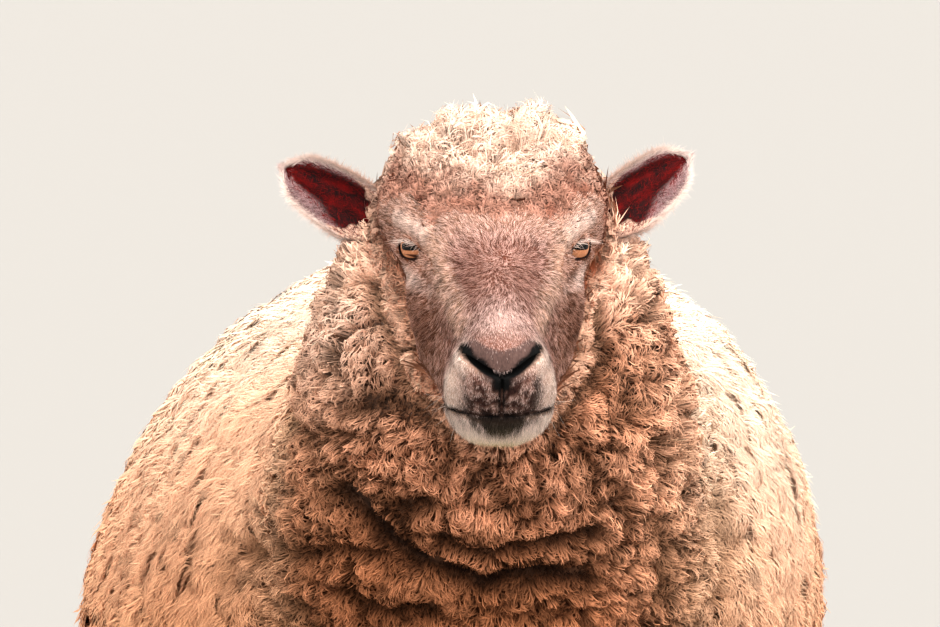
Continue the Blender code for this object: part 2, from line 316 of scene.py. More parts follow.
def solid_copy(name, nodes, grow=0.0005):
    """One mesh of copies of CAD nodes, merged and grown a little so that neighbours overlap."""
    bm = bmesh.new()
    for node in nodes:
        bm.from_mesh(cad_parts[node].data)
    bmesh.ops.remove_doubles(bm, verts=bm.verts[:], dist=1e-5)
    bm.normal_update()
    for vertex in bm.verts:
        vertex.co += vertex.normal * grow
    return piece_of(name, bm)


def remeshed(piece, voxel, rounds):
    """The piece as one even mesh, with its facets smoothed away."""
    remesh = piece.modifiers.new("even", "REMESH")
    remesh.mode = "VOXEL"
    remesh.voxel_size = voxel
    smooth = piece.modifiers.new("smooth", "SMOOTH")
    smooth.factor = 0.5
    smooth.iterations = rounds
    return settled(piece)


def combined(piece, other, operation):
    """Joins another closed piece to this one, or cuts it away, and drops it."""
    step = piece.modifiers.new(operation.lower(), "BOOLEAN")
    step.operation = operation
    step.solver = "MANIFOLD"
    step.object = other
    settled(piece)
    bpy.data.objects.remove(other)


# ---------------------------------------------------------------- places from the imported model


def middle(node):
    low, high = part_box(node)
    return (Vector(low) + Vector(high)) / 2


def head_matrix():
    """The head's frame, found from its two eyes."""
    across = middle("eye_left") - middle("eye_right")
    yaw = math.atan2(across.y, across.x)
    turn = Matrix.Rotation(yaw, 4, "Z") @ Matrix.Rotation(HEAD_PITCH, 4, "X")
    between = (middle("eye_left") + middle("eye_right")) / 2
    centre = Vector((0, EYE_PLACE.y, EYE_PLACE.z))
    return Matrix.Translation(between - turn.to_3x3() @ centre) @ turn


HEAD = head_matrix()
HEAD_TURN = np.array(HEAD.to_3x3())
HEAD_ORIGIN = np.array(HEAD.translation)


def in_head(points):
    return (points - HEAD_ORIGIN) @ HEAD_TURN


def from_head(points):
    return np.asarray(points) @ HEAD_TURN.T + HEAD_ORIGIN


def surface_tree(*nodes):
    points = []
    faces = []
    for node in nodes:
        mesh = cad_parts[node].data
        faces.append(triangles_of(mesh) + sum(len(p) for p in points))
        points.append(points_of(mesh))
    return BVHTree.FromPolygons(np.concatenate(points).tolist(), np.concatenate(faces).tolist())


def distance_to(tree, points):
    return np.array([tree.find_nearest(Vector(p))[3] for p in points])


HEAD_TREE = surface_tree("head", "lower_jaw")
BODY_TREE = surface_tree("neck", "trunk")
TAIL_TREE = surface_tree("tail")
LEG_TREE = surface_tree(*[f"leg_{end}_{side}" for end, side in FEET])


# ---------------------------------------------------------------- where the wool grows, and how deep


def hairline(q):
    """How far behind the edge of the short hair each point of the head is, along the head's own Y."""
    across = np.abs(q[:, 0])
    lateral = ramp(0.040, 0.058, across)
    lateral_edge = 0.046 - 0.020 * ramp(0.010, 0.030, q[:, 2])
    edge = -0.032 + 0.016 * ramp(0.0, 0.038, across) + lateral_edge * lateral
    below = np.maximum(lateral, ramp(-0.05, -0.07, q[:, 2]))
    edge = edge - 0.084 * ramp(0.0, -0.052, q[:, 2]) * below
    return q[:, 1] - edge + 0.008 * noise(q, 0.015, 3) + 0.004 * noise(q, 0.005, 4)


def coat_regions(points):
    """For each point: the coat's depth, how woolly it is, how much of it is head, leg and tail, and how
    far it lies behind the hairline."""
    q = in_head(points)
    to_head = distance_to(HEAD_TREE, points)
    to_body = distance_to(BODY_TREE, points)
    to_leg = distance_to(LEG_TREE, points)
    to_tail = distance_to(TAIL_TREE, points)
    head = ramp(-0.006, 0.006, to_body - to_head) * ramp(0.30, 0.40, points[:, 2])
    leg = ramp(-0.010, 0.010, to_body - to_leg)
    tail = ramp(-0.004, 0.008, to_body - to_tail)
    behind = hairline(q)
    head_depth = SHORT_HAIR + (CROWN_WOOL - SHORT_HAIR) * ramp(-0.002, 0.060, behind) ** 0.8
    hock = np.where(points[:, 1] > 0.1, 0.285, 0.245)
    above_hock = points[:, 2] - hock
    leg_depth = SHORT_HAIR + (LEG_WOOL - SHORT_HAIR) * ramp(-0.035, 0.075, above_hock)
    depth = BODY_WOOL + (TAIL_WOOL - BODY_WOOL) * tail
    depth = depth * (1 - leg) + leg_depth * leg
    depth = depth * (1 - head) + head_depth * head
    woolly = (1 - leg) + leg * ramp(-0.020, 0.020, above_hock)
    woolly = woolly * (1 - head) + head * ramp(-0.004, 0.012, behind)
    return dict(depth=depth, woolly=woolly, head=head, leg=leg, tail=tail, behind=behind)


# ---------------------------------------------------------------- the skin


def pushed_in(piece, extra):
    """Moves the surface in by the depth of the coat, and by what extra(points, regions) adds."""
    points = points_of(piece.data)
    normals = normals_of(piece.data)
    regions = coat_regions(points)
    inward = regions["depth"] + extra(points, regions)
    set_points(piece.data, points - normals * inward[:, None])
    return piece


def core_skin():
    """The trunk, neck, tail and the insides of the head and legs, as one surface."""
    nodes = ["trunk", "neck", "tail", "head", "lower_jaw", "eye_left", "eye_right"]
    nodes += [f"leg_{end}_{side}" for end, side in FEET]
    core = remeshed(solid_copy("skin", nodes), CORE_VOXEL, 14)

    def extra(points, regions):
        face = regions["head"] * ramp(0.030, 0.012, regions["behind"])
        shank = regions["leg"] * ramp(0.31, 0.27, points[:, 2])
        return HIDDEN_BY * np.maximum(face, shank)

    return pushed_in(core, extra)


def leg_skins():
    for end, side in FEET:
        leg = remeshed(solid_copy("shank", [f"leg_{end}_{side}"]), LEG_VOXEL, 16)

        def extra(points, regions):
            return HIDDEN_BY * ramp(0.29, 0.32, points[:, 2]) - STAND_OUT

        yield pushed_in(leg, extra)


# Swellings and hollows of the face, for the head's left side: (centre, reach, how far the skin stands out)
FACE_FORMS = [
    ((0.052, -0.034, 0.002), (0.008, 0.016, 0.010), -0.0022),
    ((0.026, -0.128, -0.003), (0.008, 0.010, 0.006), 0.0016),
    ((0.0275, -0.124, -0.0150), (0.007, 0.010, 0.006), 0.0018),
    ((0.022, -0.138, -0.030), (0.013, 0.014, 0.012), 0.0034),
    ((0.033, -0.122, -0.041), (0.010, 0.014, 0.015), 0.0024),
    ((0.012, -0.136, -0.004), (0.009, 0.008, 0.006), 0.0010),
    ((0.000, -0.145, -0.010), (0.005, 0.008, 0.006), -0.0010),
    ((0.000, -0.100, 0.016), (0.012, 0.030, 0.010), 0.0012),
    ((0.000, -0.010, 0.036), (0.030, 0.022, 0.012), 0.0012),
    ((0.000, -0.134, -0.068), (0.020, 0.014, 0.010), 0.0016),
    ((0.016, -0.142, -0.0535), (0.022, 0.010, 0.005), -0.0020),
    ((0.046, -0.058, -0.066), (0.016, 0.026, 0.016), 0.0030),
    ((0.036, -0.100, -0.068), (0.012, 0.016, 0.012), 0.0016),
]
NOSE_SIDE = [(0.0415, -0.030, 0.017), (0.0350, -0.070, 0.010), (0.0270, -0.100, 0.003)]
BROW = [(0.0640, 0.0120, 0.0130), (0.0550, -0.0060, 0.0165), (0.0460, -0.0190, 0.0165)]
# Ridges and furrows: (path, half width, how far the skin stands out)
FACE_RIDGES = [
    (NOSE_SIDE, 0.0075, 0.0020),
    ([(0.0520, -0.050, -0.006), (0.0440, -0.085, -0.020)], 0.0110, -0.0026),
    ([(0.0590, -0.028, -0.024), (0.0500, -0.062, -0.036)], 0.0110, 0.0022),
    ([(0.0395, -0.095, -0.018), (0.0385, -0.098, -0.052)], 0.0070, -0.0036),
    ([(0.0530, -0.0175, 0.0070), (0.0475, -0.0300, 0.0090), (0.0420, -0.0480, 0.0085)], 0.0032, -0.0018),
    (BROW, 0.0060, 0.0030),
    ([(0.0640, 0.0090, -0.0160), (0.0580, -0.0100, -0.0130), (0.0510, -0.0240, -0.0060)], 0.0030, 0.0012),
]


def modelled_face(q):
    """How far each point of the head's skin stands out, from the folds and swellings of the face."""
    m = mirrored(q)
    out = np.zeros(len(q))
    for centre, reach, height in FACE_FORMS:
        out += height * near_to(m, centre, reach)
    for path, half, height in FACE_RIDGES:
        out += height * np.exp(-((gap_to_path(m, path) / half) ** 2))
    wrinkle = noise(q * np.array((1, 0.45, 1)), 0.006, 11) + 0.6 * noise(q, 0.011, 12)
    return out + 0.00025 * wrinkle


NOSE_PAD = [(0.0215, -0.1255, -0.0035), (0.0130, -0.1350, -0.0048), (0.0, -0.1400, -0.0062)]


def head_skin():
    nodes = ["head", "lower_jaw", "eye_left", "eye_right"]
    head = remeshed(solid_copy("head_skin", nodes), HEAD_VOXEL, 44)

    def extra(points, regions):
        form = modelled_face(in_head(points))
        return HIDDEN_BY * ramp(0.018, 0.034, regions["behind"]) - STAND_OUT - form

    return pushed_in(head, extra)


def swept(name, path, sizes, inward):
    """A closed tube along a smooth curve through a path of the head's frame; sizes are its half widths
    along the surface and into the head."""
    fine = []
    around = 12
    count = 8 * (len(path) - 1) + 1
    keys = np.array(path, float)
    widths = np.array(sizes, float)
    for t in np.linspace(0, len(path) - 1, count):
        i = min(int(t), len(path) - 2)
        four = [max(i - 1, 0), i, i + 1, min(i + 2, len(path) - 1)]
        u = t - i
        weights = 0.5 * np.array(
            [-u + 2 * u**2 - u**3, 2 - 5 * u**2 + 3 * u**3, u + 4 * u**2 - 3 * u**3, -(u**2) + u**3]
        )
        fine.append((weights @ keys[four], weights @ widths[four]))
    rings = []
    for k, (point, (half, deep)) in enumerate(fine):
        ahead = fine[min(k + 1, count - 1)][0] - fine[max(k - 1, 0)][0]
        into = unit(flattened(np.array(inward(point)), unit(ahead)))
        over = np.cross(unit(ahead), into)
        for a in np.arange(around) * 2 * math.pi / around:
            rings.append(point + over * half * math.cos(a) + into * deep * math.sin(a))
    return tube(name, from_head(rings), around)


NOSTRIL_PATH = [
    (0.0234, -0.1240, -0.0102),
    (0.0200, -0.1325, -0.0100),
    (0.0122, -0.1410, -0.0120),
    (0.0018, -0.1470, -0.0152),
]
NOSTRIL_SIZES = [(0.0012, 0.0060), (0.0021, 0.0110), (0.0023, 0.0110), (0.0020, 0.0080)]
MOUTH_PATH = [
    (0.0350, -0.0950, -0.0600),
    (0.0345, -0.1130, -0.0540),
    (0.0300, -0.1300, -0.0495),
    (0.0190, -0.1400, -0.0482),
    (0.0000, -0.1440, -0.0472),
]
MOUTH_SIZES = [(0.0006, 0.0040), (0.0014, 0.0060), (0.0020, 0.0080), (0.0023, 0.0085), (0.0023, 0.0085)]
PHILTRUM_PATH = [
    (0.0, -0.1475, -0.0165),
    (0.0, -0.1495, -0.0260),
    (0.0, -0.1475, -0.0380),
    (0.0, -0.1440, -0.0470),
]
PHILTRUM_SIZES = [(0.0016, 0.0044), (0.0011, 0.0040), (0.0011, 0.0040), (0.0012, 0.0044)]
LOWER_LIP = (0.0, -0.143, -0.0540)
LOWER_LIP_REACH = (0.029, 0.022, 0.0105)


def face_openings():
    def into_muzzle(point):
        return (-0.45 * point[0] / 0.03, 1.0, 0.10)

    for sign in SIDES.values():
        path = [(sign * x, y, z) for x, y, z in NOSTRIL_PATH]
        yield swept("nostril", path, NOSTRIL_SIZES, into_muzzle)
    other_side = [(-x, y, z) for x, y, z in reversed(MOUTH_PATH[:-1])]
    sizes = MOUTH_SIZES + MOUTH_SIZES[-2::-1]
    yield swept("mouth", MOUTH_PATH + other_side, sizes, into_muzzle)
    yield swept("philtrum", PHILTRUM_PATH, PHILTRUM_SIZES, into_muzzle)


def ball(name, centre, radius):
    bm = bmesh.new()
    bmesh.ops.create_uvsphere(bm, u_segments=64, v_segments=32, radius=radius)
    bmesh.ops.translate(bm, vec=centre, verts=bm.verts[:])
    return piece_of(name, bm)


def eye_centre(side):
    return HEAD @ Vector((SIDES[side] * EYE_PLACE.x, EYE_PLACE.y, EYE_PLACE.z))


def eye_axes(side):
    """The eye's gaze, the direction from its outer to its inner corner, and up between its lids."""
    turn = HEAD.to_3x3()
    gaze = (turn @ Vector((SIDES[side] * GAZE.x, GAZE.y, GAZE.z))).normalized()
    inner = turn @ Vector((-SIDES[side] * INNER_CORNER.x, INNER_CORNER.y, INNER_CORNER.z))
    inner = (inner - inner.dot(gaze) * gaze).normalized()
    up = inner.cross(gaze) * SIDES[side] * -1
    if up.z < 0:
        up = -up
    return gaze, inner, up.normalized()


def lid_outline(angle):
    """The almond between the lids: (towards the inner corner, up)."""
    along = LID_HALF_LENGTH * math.cos(angle)
    lift = math.sin(angle)
    height = LID_UP if lift > 0 else LID_DOWN
    droop = -LID_DROOP * max(0.0, along / LID_HALF_LENGTH) ** 2
    return along, math.copysign(abs(lift) ** 1.15 * height, lift) + droop


def eye_opening(side):
    """A prism of the almond's shape, from inside the eye outwards."""
    gaze, inner, up = eye_axes(side)
    centre = eye_centre(side)
    around = 48
    points = []
    for depth, spread in ((0.003, 0.90), (0.0135, 1.0), (0.026, 1.30)):
        for k in range(around):
            along, lift = lid_outline(2 * math.pi * k / around)
            points.append(centre + gaze * depth + (inner * along + up * lift) * spread)
    return tube("opening", points, around)


def ear_matrix(side):
    turn = Matrix.Rotation(-EAR_RISE[side], 4, "Y") @ Matrix.Rotation(EAR_SWEEP, 4, "Z")
    untilt = Matrix.Rotation(-HEAD_PITCH, 4, "X")
    flip = Matrix.Diagonal((SIDES[side], 1, 1, 1))
    return HEAD @ flip @ Matrix.Translation(EAR_PLACE) @ untilt @ turn


def ear_points(along, across, face):
    """Points of the ear in its own frame: a leaf cupped like a hand, its hollow towards its own -Y."""
    grown = np.clip(along, 0, 1)
    width = EAR_HALF_WIDTH * (0.48 + 0.54 * ramp(-0.12, 0.34, grown))
    width = width * (1 - 0.50 * ramp(0.22, 1.15, grown))
    tip = np.clip((grown - 0.70) / 0.30, 0, 1)
    width = width * np.sqrt(np.clip(1 - tip**2, 0.0004, 1))
    cup = 1.15 * (1 - grown) + 0.45
    bend = across * cup
    depth = width * (1 - np.cos(bend)) / cup
    height = width * np.sin(bend) / cup
    thick = EAR_THICKNESS * (1 - 0.55 * grown) * (1 - 0.75 * across**2) * (1 - 0.5 * tip**4)
    ridges = 0.0009 * np.cos(across * 9.5) * (1 - across**2) * ramp(1.0, 0.75, grown)
    out = -depth + 0.012 * grown**2 + face * thick / 2 - ridges * (face < 0)
    return np.stack([along * EAR_LENGTH, out, height], -1)


def ear_skin(side):
    """One ear, closed from its front to its back, with a root that reaches into the head."""
    root = np.linspace(EAR_ROOT, 0, 6)[:-1]
    lengthwise = np.concatenate([root, np.sin(np.linspace(0, 0.5, 72) * math.pi)])
    over = np.sin(np.linspace(-0.5, 0.5, 37) * math.pi)
    rings = []
    for along in lengthwise:
        front = ear_points(np.full(len(over), along), over, -1)
        back = ear_points(np.full(len(over), along), over[::-1], 1)
        rings.append(np.concatenate([front, back[1:-1]]))
    return tube("ear", moved(np.concatenate(rings), ear_matrix(side)), len(rings[0]), merge=2e-5)


def make_skin():
    skin = core_skin()
    face = head_skin()
    for side in SIDES:
        combined(face, ball("lid", eye_centre(side), EYE_RADIUS + LID_THICKNESS), "UNION")
    for opening in face_openings():
        combined(face, opening, "DIFFERENCE")
    combined(skin, face, "UNION")
    for side in SIDES:
        combined(skin, ear_skin(side), "UNION")
    for leg in leg_skins():
        combined(skin, leg, "UNION")
    for side in SIDES:
        combined(skin, ball("socket", eye_centre(side), EYE_RADIUS + SOCKET_GAP), "DIFFERENCE")
        combined(skin, eye_opening(side), "DIFFERENCE")
    skin.data.shade_smooth()
    return skin


# ---------------------------------------------------------------- markings, shared by skin and coat

CREAM = colour(252, 226, 204)
PEACH = colour(246, 198, 164)
TAN = colour(214, 152, 112)
RUFF_BROWN = colour(244, 174, 138)
CHEST_BROWN_AND_SHADE = colour(212, 138, 98)
NECK_LIT = colour(255, 216, 194)
CROWN_WHITE = colour(251, 217, 197)
BROW_WOOL = colour(184, 134, 116)
SOIL = colour(150, 104, 76)
FOREHEAD = colour(212, 160, 134)
MAUVE = colour(146, 90, 73)
CHEEK = colour(170, 108, 79)
SIDE_BROWN_AND_SHADE = colour(92, 54, 38)
PALE_NOSE = colour(236, 204, 194)
STRIPE_TAN = colour(214, 164, 134)
WHITE_HAIR = colour(250, 226, 211)
GREY_PAD = colour(122, 104, 102)
LIP_GREY = colour(46, 34, 32)
LIP_PALE = colour(168, 136, 126)
CHIN_DARK = colour(22, 10, 5)
CHIN_STAIN = colour(200, 180, 112)
LID_DARK = colour(34, 18, 15)
# Black painted as the shade inside the nostrils, the mouth and the philtrum, and the black of the pupils
HOLLOW_SHADE = colour(10, 5, 4)
EAR_RED = colour(104, 16, 3)
EAR_DEEP = colour(32, 5, 2)
EAR_RIM = colour(232, 208, 196)
EAR_MAUVE = colour(176, 140, 140)
EAR_BACK = colour(205, 166, 146)
LEG_HAIR = colour(200, 158, 134)
HORN_DARK = colour(58, 48, 42)
HORN_PALE = colour(128, 112, 96)
IRIS_AMBER = colour(198, 134, 96)
IRIS_BROWN = colour(148, 90, 60)
IRIS_RIM = colour(60, 32, 20)


def lid_gap(points):
    """How far each point is outside the almond between the lids, measured across the gaze."""
    gap = np.full(len(points), 1.0)
    for side in SIDES:
        gaze, inner, up = (np.array(v) for v in eye_axes(side))
        away = points - np.array(eye_centre(side))
        along = away @ inner
        lift = away @ up + LID_DROOP * np.clip(along / LID_HALF_LENGTH, 0, 1) ** 2
        across = np.hypot(along / LID_HALF_LENGTH, lift / np.where(lift > 0, LID_UP, LID_DOWN))
        close = (away @ gaze > 0.004) & (np.linalg.norm(away, axis=-1) < 0.024)
        gap = np.where(close, np.minimum(gap, (across - 1) * 0.009), gap)
    return gap


def inward_of(path, depth):
    """A path of the muzzle moved into the head by this depth."""
    return [tuple(np.array(p) + depth * unit(np.array((-15.0 * p[0], 1.0, 0.1)))) for p in path]


def face_tint(points):
    """The colour of the short hair and bare skin of the head, with painted shade in the nostrils, mouth and
    philtrum and on the sides of the face, and painted light on the top of the nose.
    """
    q = in_head(points)
    m = mirrored(q)
    blotch = 0.5 + 0.5 * noise(q, 0.009, 22)
    tint = mixed(MAUVE, CHEEK, ramp(0.026, 0.045, m[:, 0]))
    # The brown sides of the face and a band beside the nose bridge: partly their own brown, partly painted
    # shade where the face turns away
    tint = mixed(tint, SIDE_BROWN_AND_SHADE, 0.9 * near_to(m, (0.052, -0.066, -0.026), (0.018, 0.040, 0.026)))
    tint = mixed(tint, SIDE_BROWN_AND_SHADE, 0.45 * near_to(m, (0.012, -0.078, 0.020), (0.009, 0.022, 0.014)))
    tint = mixed(tint, FOREHEAD, ramp(-0.056, -0.020, m[:, 1]) * ramp(-0.01, 0.02, m[:, 2]) * 0.7)
    stripe = gap_to_path(m, NOSE_SIDE)
    tint = mixed(tint, STRIPE_TAN, 0.80 * ramp(0.0140, 0.0030, stripe + 0.003 * noise(q, 0.008, 25)))
    # Pale hair on the top of the nose, partly its own colour and partly painted light from above
    tint = mixed(tint, PALE_NOSE, 0.60 * near_to(m, (0, -0.116, 0.010), (0.020, 0.017, 0.020)))
    tint = mixed(tint, WHITE_HAIR, 0.52 * ramp(0.0085, 0.0020, gap_to_path(m, BROW)))
    under_eye = [(0.0600, -0.012, -0.016), (0.0545, -0.036, -0.006), (0.0480, -0.056, 0.000)]
    tint = mixed(tint, WHITE_HAIR, 0.5 * ramp(0.0085, 0.0030, gap_to_path(m, under_eye)))
    muzzle = ramp(-0.104, -0.122, m[:, 1])
    tint = mixed(tint, WHITE_HAIR, 0.95 * muzzle * ramp(0.017, 0.027, m[:, 0]))
    rim_of_nostril = gap_to_path(m, [(0.0280, -0.117, -0.0030), (0.0285, -0.121, -0.0130)])
    tint = mixed(tint, WHITE_HAIR, 0.7 * ramp(0.0055, 0.0020, rim_of_nostril))
    tint = mixed(tint, WHITE_HAIR, 0.6 * ramp(0.0070, 0.0044, gap_to_path(m, NOSTRIL_PATH)))
    tint = mixed(tint, GREY_PAD, ramp(0.0070, 0.0056, gap_to_path(m, NOSE_PAD)))
    pad_point = near_to(m, (0.0, -0.1465, -0.0125), (0.0130, 0.0090, 0.0062))
    tint = mixed(tint, GREY_PAD, ramp(0.0, 0.4, pad_point))
    lip = muzzle * ramp(-0.014, -0.022, m[:, 2]) * ramp(0.033, 0.022, m[:, 0])
    mottle = ramp(-0.15, 0.45, noise(q, 0.0020, 21) + 0.6 * noise(q, 0.0050, 23))
    tint = mixed(tint, mixed(LIP_GREY, LIP_PALE, mottle), 0.92 * lip)
    below_mouth = -0.0475 - 0.28 * (m[:, 1] + 0.144)
    chin = ramp(0.001, -0.003, m[:, 2] - below_mouth) * ramp(-0.085, -0.105, m[:, 1])
    tint = mixed(tint, WHITE_HAIR, 0.92 * chin)
    lower_lip = near_to(m, LOWER_LIP, LOWER_LIP_REACH)
    tint = mixed(tint, CHIN_DARK, 0.97 * ramp(0.15, 0.75, lower_lip + 0.22 * noise(q, 0.0035, 24)))
    tint = mixed(tint, CHIN_STAIN, 0.85 * near_to(m, (0.0, -0.124, -0.082), (0.032, 0.030, 0.014)))
    tear_line = [(0.0525, -0.0185, 0.0065), (0.0480, -0.0290, 0.0085), (0.0445, -0.0380, 0.0085)]
    tint = mixed(tint, LID_DARK, 0.85 * ramp(0.0034, 0.0010, gap_to_path(m, tear_line)))
    tint = tint * (0.86 + 0.28 * blotch)[:, None]
    speckled = ramp(0.012, 0.026, m[:, 0]) * (0.4 + 0.6 * ramp(-0.128, -0.112, m[:, 1]))
    speckled = speckled * ramp(0.05, 0.02, m[:, 2])
    tint = tint * (1 - 0.72 * speckled * ramp(-0.05, 0.5, noise(q, 0.0021, 26)))[:, None]
    tint = mixed(tint, LID_DARK, ramp(0.0042, 0.0018, lid_gap(points)))
    # Painted shade: black in the nostrils, where they meet, along the mouth and down the philtrum's groove
    tint = mixed(tint, HOLLOW_SHADE, ramp(0.0032, 0.0024, gap_to_path(m, NOSTRIL_PATH)))
    inner_gap = gap_to_path(m, inward_of(NOSTRIL_PATH, 0.0068))
    inner_gap = inner_gap + 0.0030 * ramp(0.0105, 0.0010, m[:, 0])
    tint = mixed(tint, HOLLOW_SHADE, ramp(0.0064, 0.0056, inner_gap))
    parting = near_to(m, (0.0, -0.1490, -0.0190), (0.0060, 0.0080, 0.0058))
    tint = mixed(tint, HOLLOW_SHADE, ramp(0.0, 0.5, parting))
    tint = mixed(tint, HOLLOW_SHADE, ramp(0.0040, 0.0024, gap_to_path(m, MOUTH_PATH)))
    return mixed(tint, HOLLOW_SHADE, 0.95 * ramp(0.0030, 0.0018, gap_to_path(m, PHILTRUM_PATH)))


# Where the upper neck gets painted light, most towards the ewe's right
def lit_upper_neck(points):
    return ramp(0.63, 0.72, points[:, 2] - 0.30 * (points[:, 0] + 0.02))


def wool_tint(points, regions):
    """The colour of the wool at its tips: paler higher up, and browner and soiled on the neck; the brown
    low on the chest is partly painted shade, and the upper neck and the ruff's left side carry painted
    light.
    """
    x, y, z = points.T
    fore_end = ramp(0.0, -0.2, y)
    tint = mixed(TAN, PEACH, ramp(0.38, 0.60, z + 0.25 * x * fore_end))
    tint = mixed(tint, CREAM, ramp(0.52, 0.68, z + 0.10 * y + 0.35 * x * fore_end))
    tint = mixed(tint, TAN, 0.5 * ramp(0.32, 0.22, z))
    off_centre = np.abs(x + 0.030 - 0.014 * ramp(0.56, 0.66, z)) + 0.010 * noise(points, 0.040, 35)
    front = ramp(0.200, 0.060, off_centre + 0.20 * ramp(-0.36, -0.26, y)) * (1 - regions["head"])
    # Browner low on the chest: partly its own soiled brown, partly painted shade on the chest, which faces
    # away from the light above
    low = ramp(0.62, 0.50, z - 0.30 * off_centre + 0.9 * np.maximum(x, 0))
    ruff = mixed(RUFF_BROWN, CHEST_BROWN_AND_SHADE, low)
    # Painted light: the upper neck is paler, most on the ewe's right
    ruff = mixed(ruff, NECK_LIT, 0.85 * lit_upper_neck(points))
    # Painted light: the ruff is lighter towards the ewe's left side
    ruff = ruff * (1 + 0.30 * ramp(0.02, 0.10, x))[:, None]
    tint = mixed(tint, ruff, front)
    tint = mixed(tint, SOIL, 0.35 * front * ramp(0.0, 0.6, noise(points, 0.020, 31)))
    patchy = 0.014 * noise(points, 0.014, 34)
    fore = mixed(BROW_WOOL, CROWN_WHITE, ramp(0.020, 0.064, regions["behind"] + patchy))
    # Mauve flecks near the hairline: partly mauve colour, partly painted shade between the tufts
    flecks = 0.7 * ramp(0.15, 0.6, noise(points, 0.009, 36))
    fore = mixed(fore, MAUVE, flecks * ramp(0.08, 0.05, regions["behind"]))
    cheeks = ramp(0.0, -0.03, in_head(points)[:, 2])
    tint = mixed(tint, mixed(fore, RUFF_BROWN, 0.7 * cheeks), regions["head"])
    tint = mixed(tint, LEG_HAIR, regions["leg"] * 0.5)
    return tint * (1 + 0.10 * noise(points, 0.030, 32) + 0.07 * noise(points, 0.009, 33))[:, None]


def ear_shares(points):
    """How much of each point is ear, and its colour."""
    share = np.zeros(len(points))
    tint = np.zeros((len(points), 3))
    for side in SIDES:
        own = moved(points, ear_matrix(side).inverted())
        along = own[:, 0] / EAR_LENGTH
        grown = np.clip(along, 0, 1)
        edge = ear_points(grown, np.ones(len(points)), 0)
        half = np.maximum(edge[:, 2], 1e-4)
        across = np.clip(own[:, 2] / half, -1.2, 1.2)
        off = own[:, 1] - ear_points(grown, np.clip(across, -1, 1), 0)[:, 1]
        inside = (along > 0.05) & (along < 1.03)
        inside = inside & (np.abs(off) < 0.008) & (np.abs(across) < 1.15)
        reach = np.minimum((1 - np.abs(across)) * half, (1 - along) * EAR_LENGTH * 0.8)
        place = np.stack([along * 3.2, across * 2.4, grown * 0], -1)
        streak = noise(place, 0.42, 41) + 0.6 * noise(place * (1, 2.2, 1), 0.30, 42)
        inner = mixed(EAR_DEEP, EAR_RED, ramp(-0.5, 0.9, streak))
        overhung = ramp(0.45, 0.75, across) * ramp(1.0, 0.7, along)
        shadow = np.maximum(overhung, ramp(0.34, 0.12, along))
        inner = mixed(inner, EAR_DEEP * 0.4, 0.75 * shadow)
        rim = 0.0045 + 0.0060 * ramp(0.0, -0.5, across) * ramp(0.40, 0.70, along)
        rim = np.maximum(rim * ramp(-0.15, 0.45, along + 0.3 * (across > 0)), 1e-5)
        inner = mixed(inner, EAR_MAUVE, 0.8 * ramp(1.5, 0.5, reach / rim))
        inner = mixed(inner, EAR_RIM, ramp(0.55, 0.2, reach / rim))
        own_tint = mixed(EAR_BACK, inner, (off < 0) * 1.0)
        share = np.where(inside, 1.0, share)
        tint = np.where(inside[:, None], own_tint, tint)
    return share, tint


# ---------------------------------------------------------------- the coat


def scattered(mesh, weights, count, rng):
    """Places on the mesh, as many to each triangle as its area times its weight asks: the three corners
    that each lies between, and its share of each."""
    points = points_of(mesh)
    faces = triangles_of(mesh)
    a, b, c = (points[faces[:, k]] for k in range(3))
    area = 0.5 * np.linalg.norm(np.cross(b - a, c - a), axis=-1)
    share = np.cumsum(area * weights[faces].mean(-1))
    picks = (np.arange(count) + rng.random(count)) / count * share[-1]
    chosen = np.searchsorted(share, picks)
    u = rng.random((2, count))
    u = np.where(u.sum(0) > 1, 1 - u, u)
    bary = np.stack([1 - u.sum(0), u[0], u[1]], -1)
    return faces[chosen], bary


def at(values, own, bary):
    """Values of the corners, blended to the chosen places."""
    if values.ndim == 1:
        return (values[own] * bary).sum(-1)
    return (values[own] * bary[..., None]).sum(1)


def unwrapped(directions):
    """An octahedral unwrap: each direction from the middle of a piece to a place in a square."""
    d = directions / np.abs(directions).sum(-1, keepdims=True)
    x, z = d[:, 0], d[:, 2]
    folded_x = (1 - np.abs(z)) * np.where(x >= 0, 1, -1)
    folded_z = (1 - np.abs(x)) * np.where(z >= 0, 1, -1)
    behind = d[:, 1] > 0
    flat = np.stack([np.where(behind, folded_x, x), np.where(behind, folded_z, z)], -1)
    low = flat.min(0)
    span = np.maximum(np.ptp(flat, axis=0), 1e-9)
    return 0.004 + 0.992 * (flat - low) / span


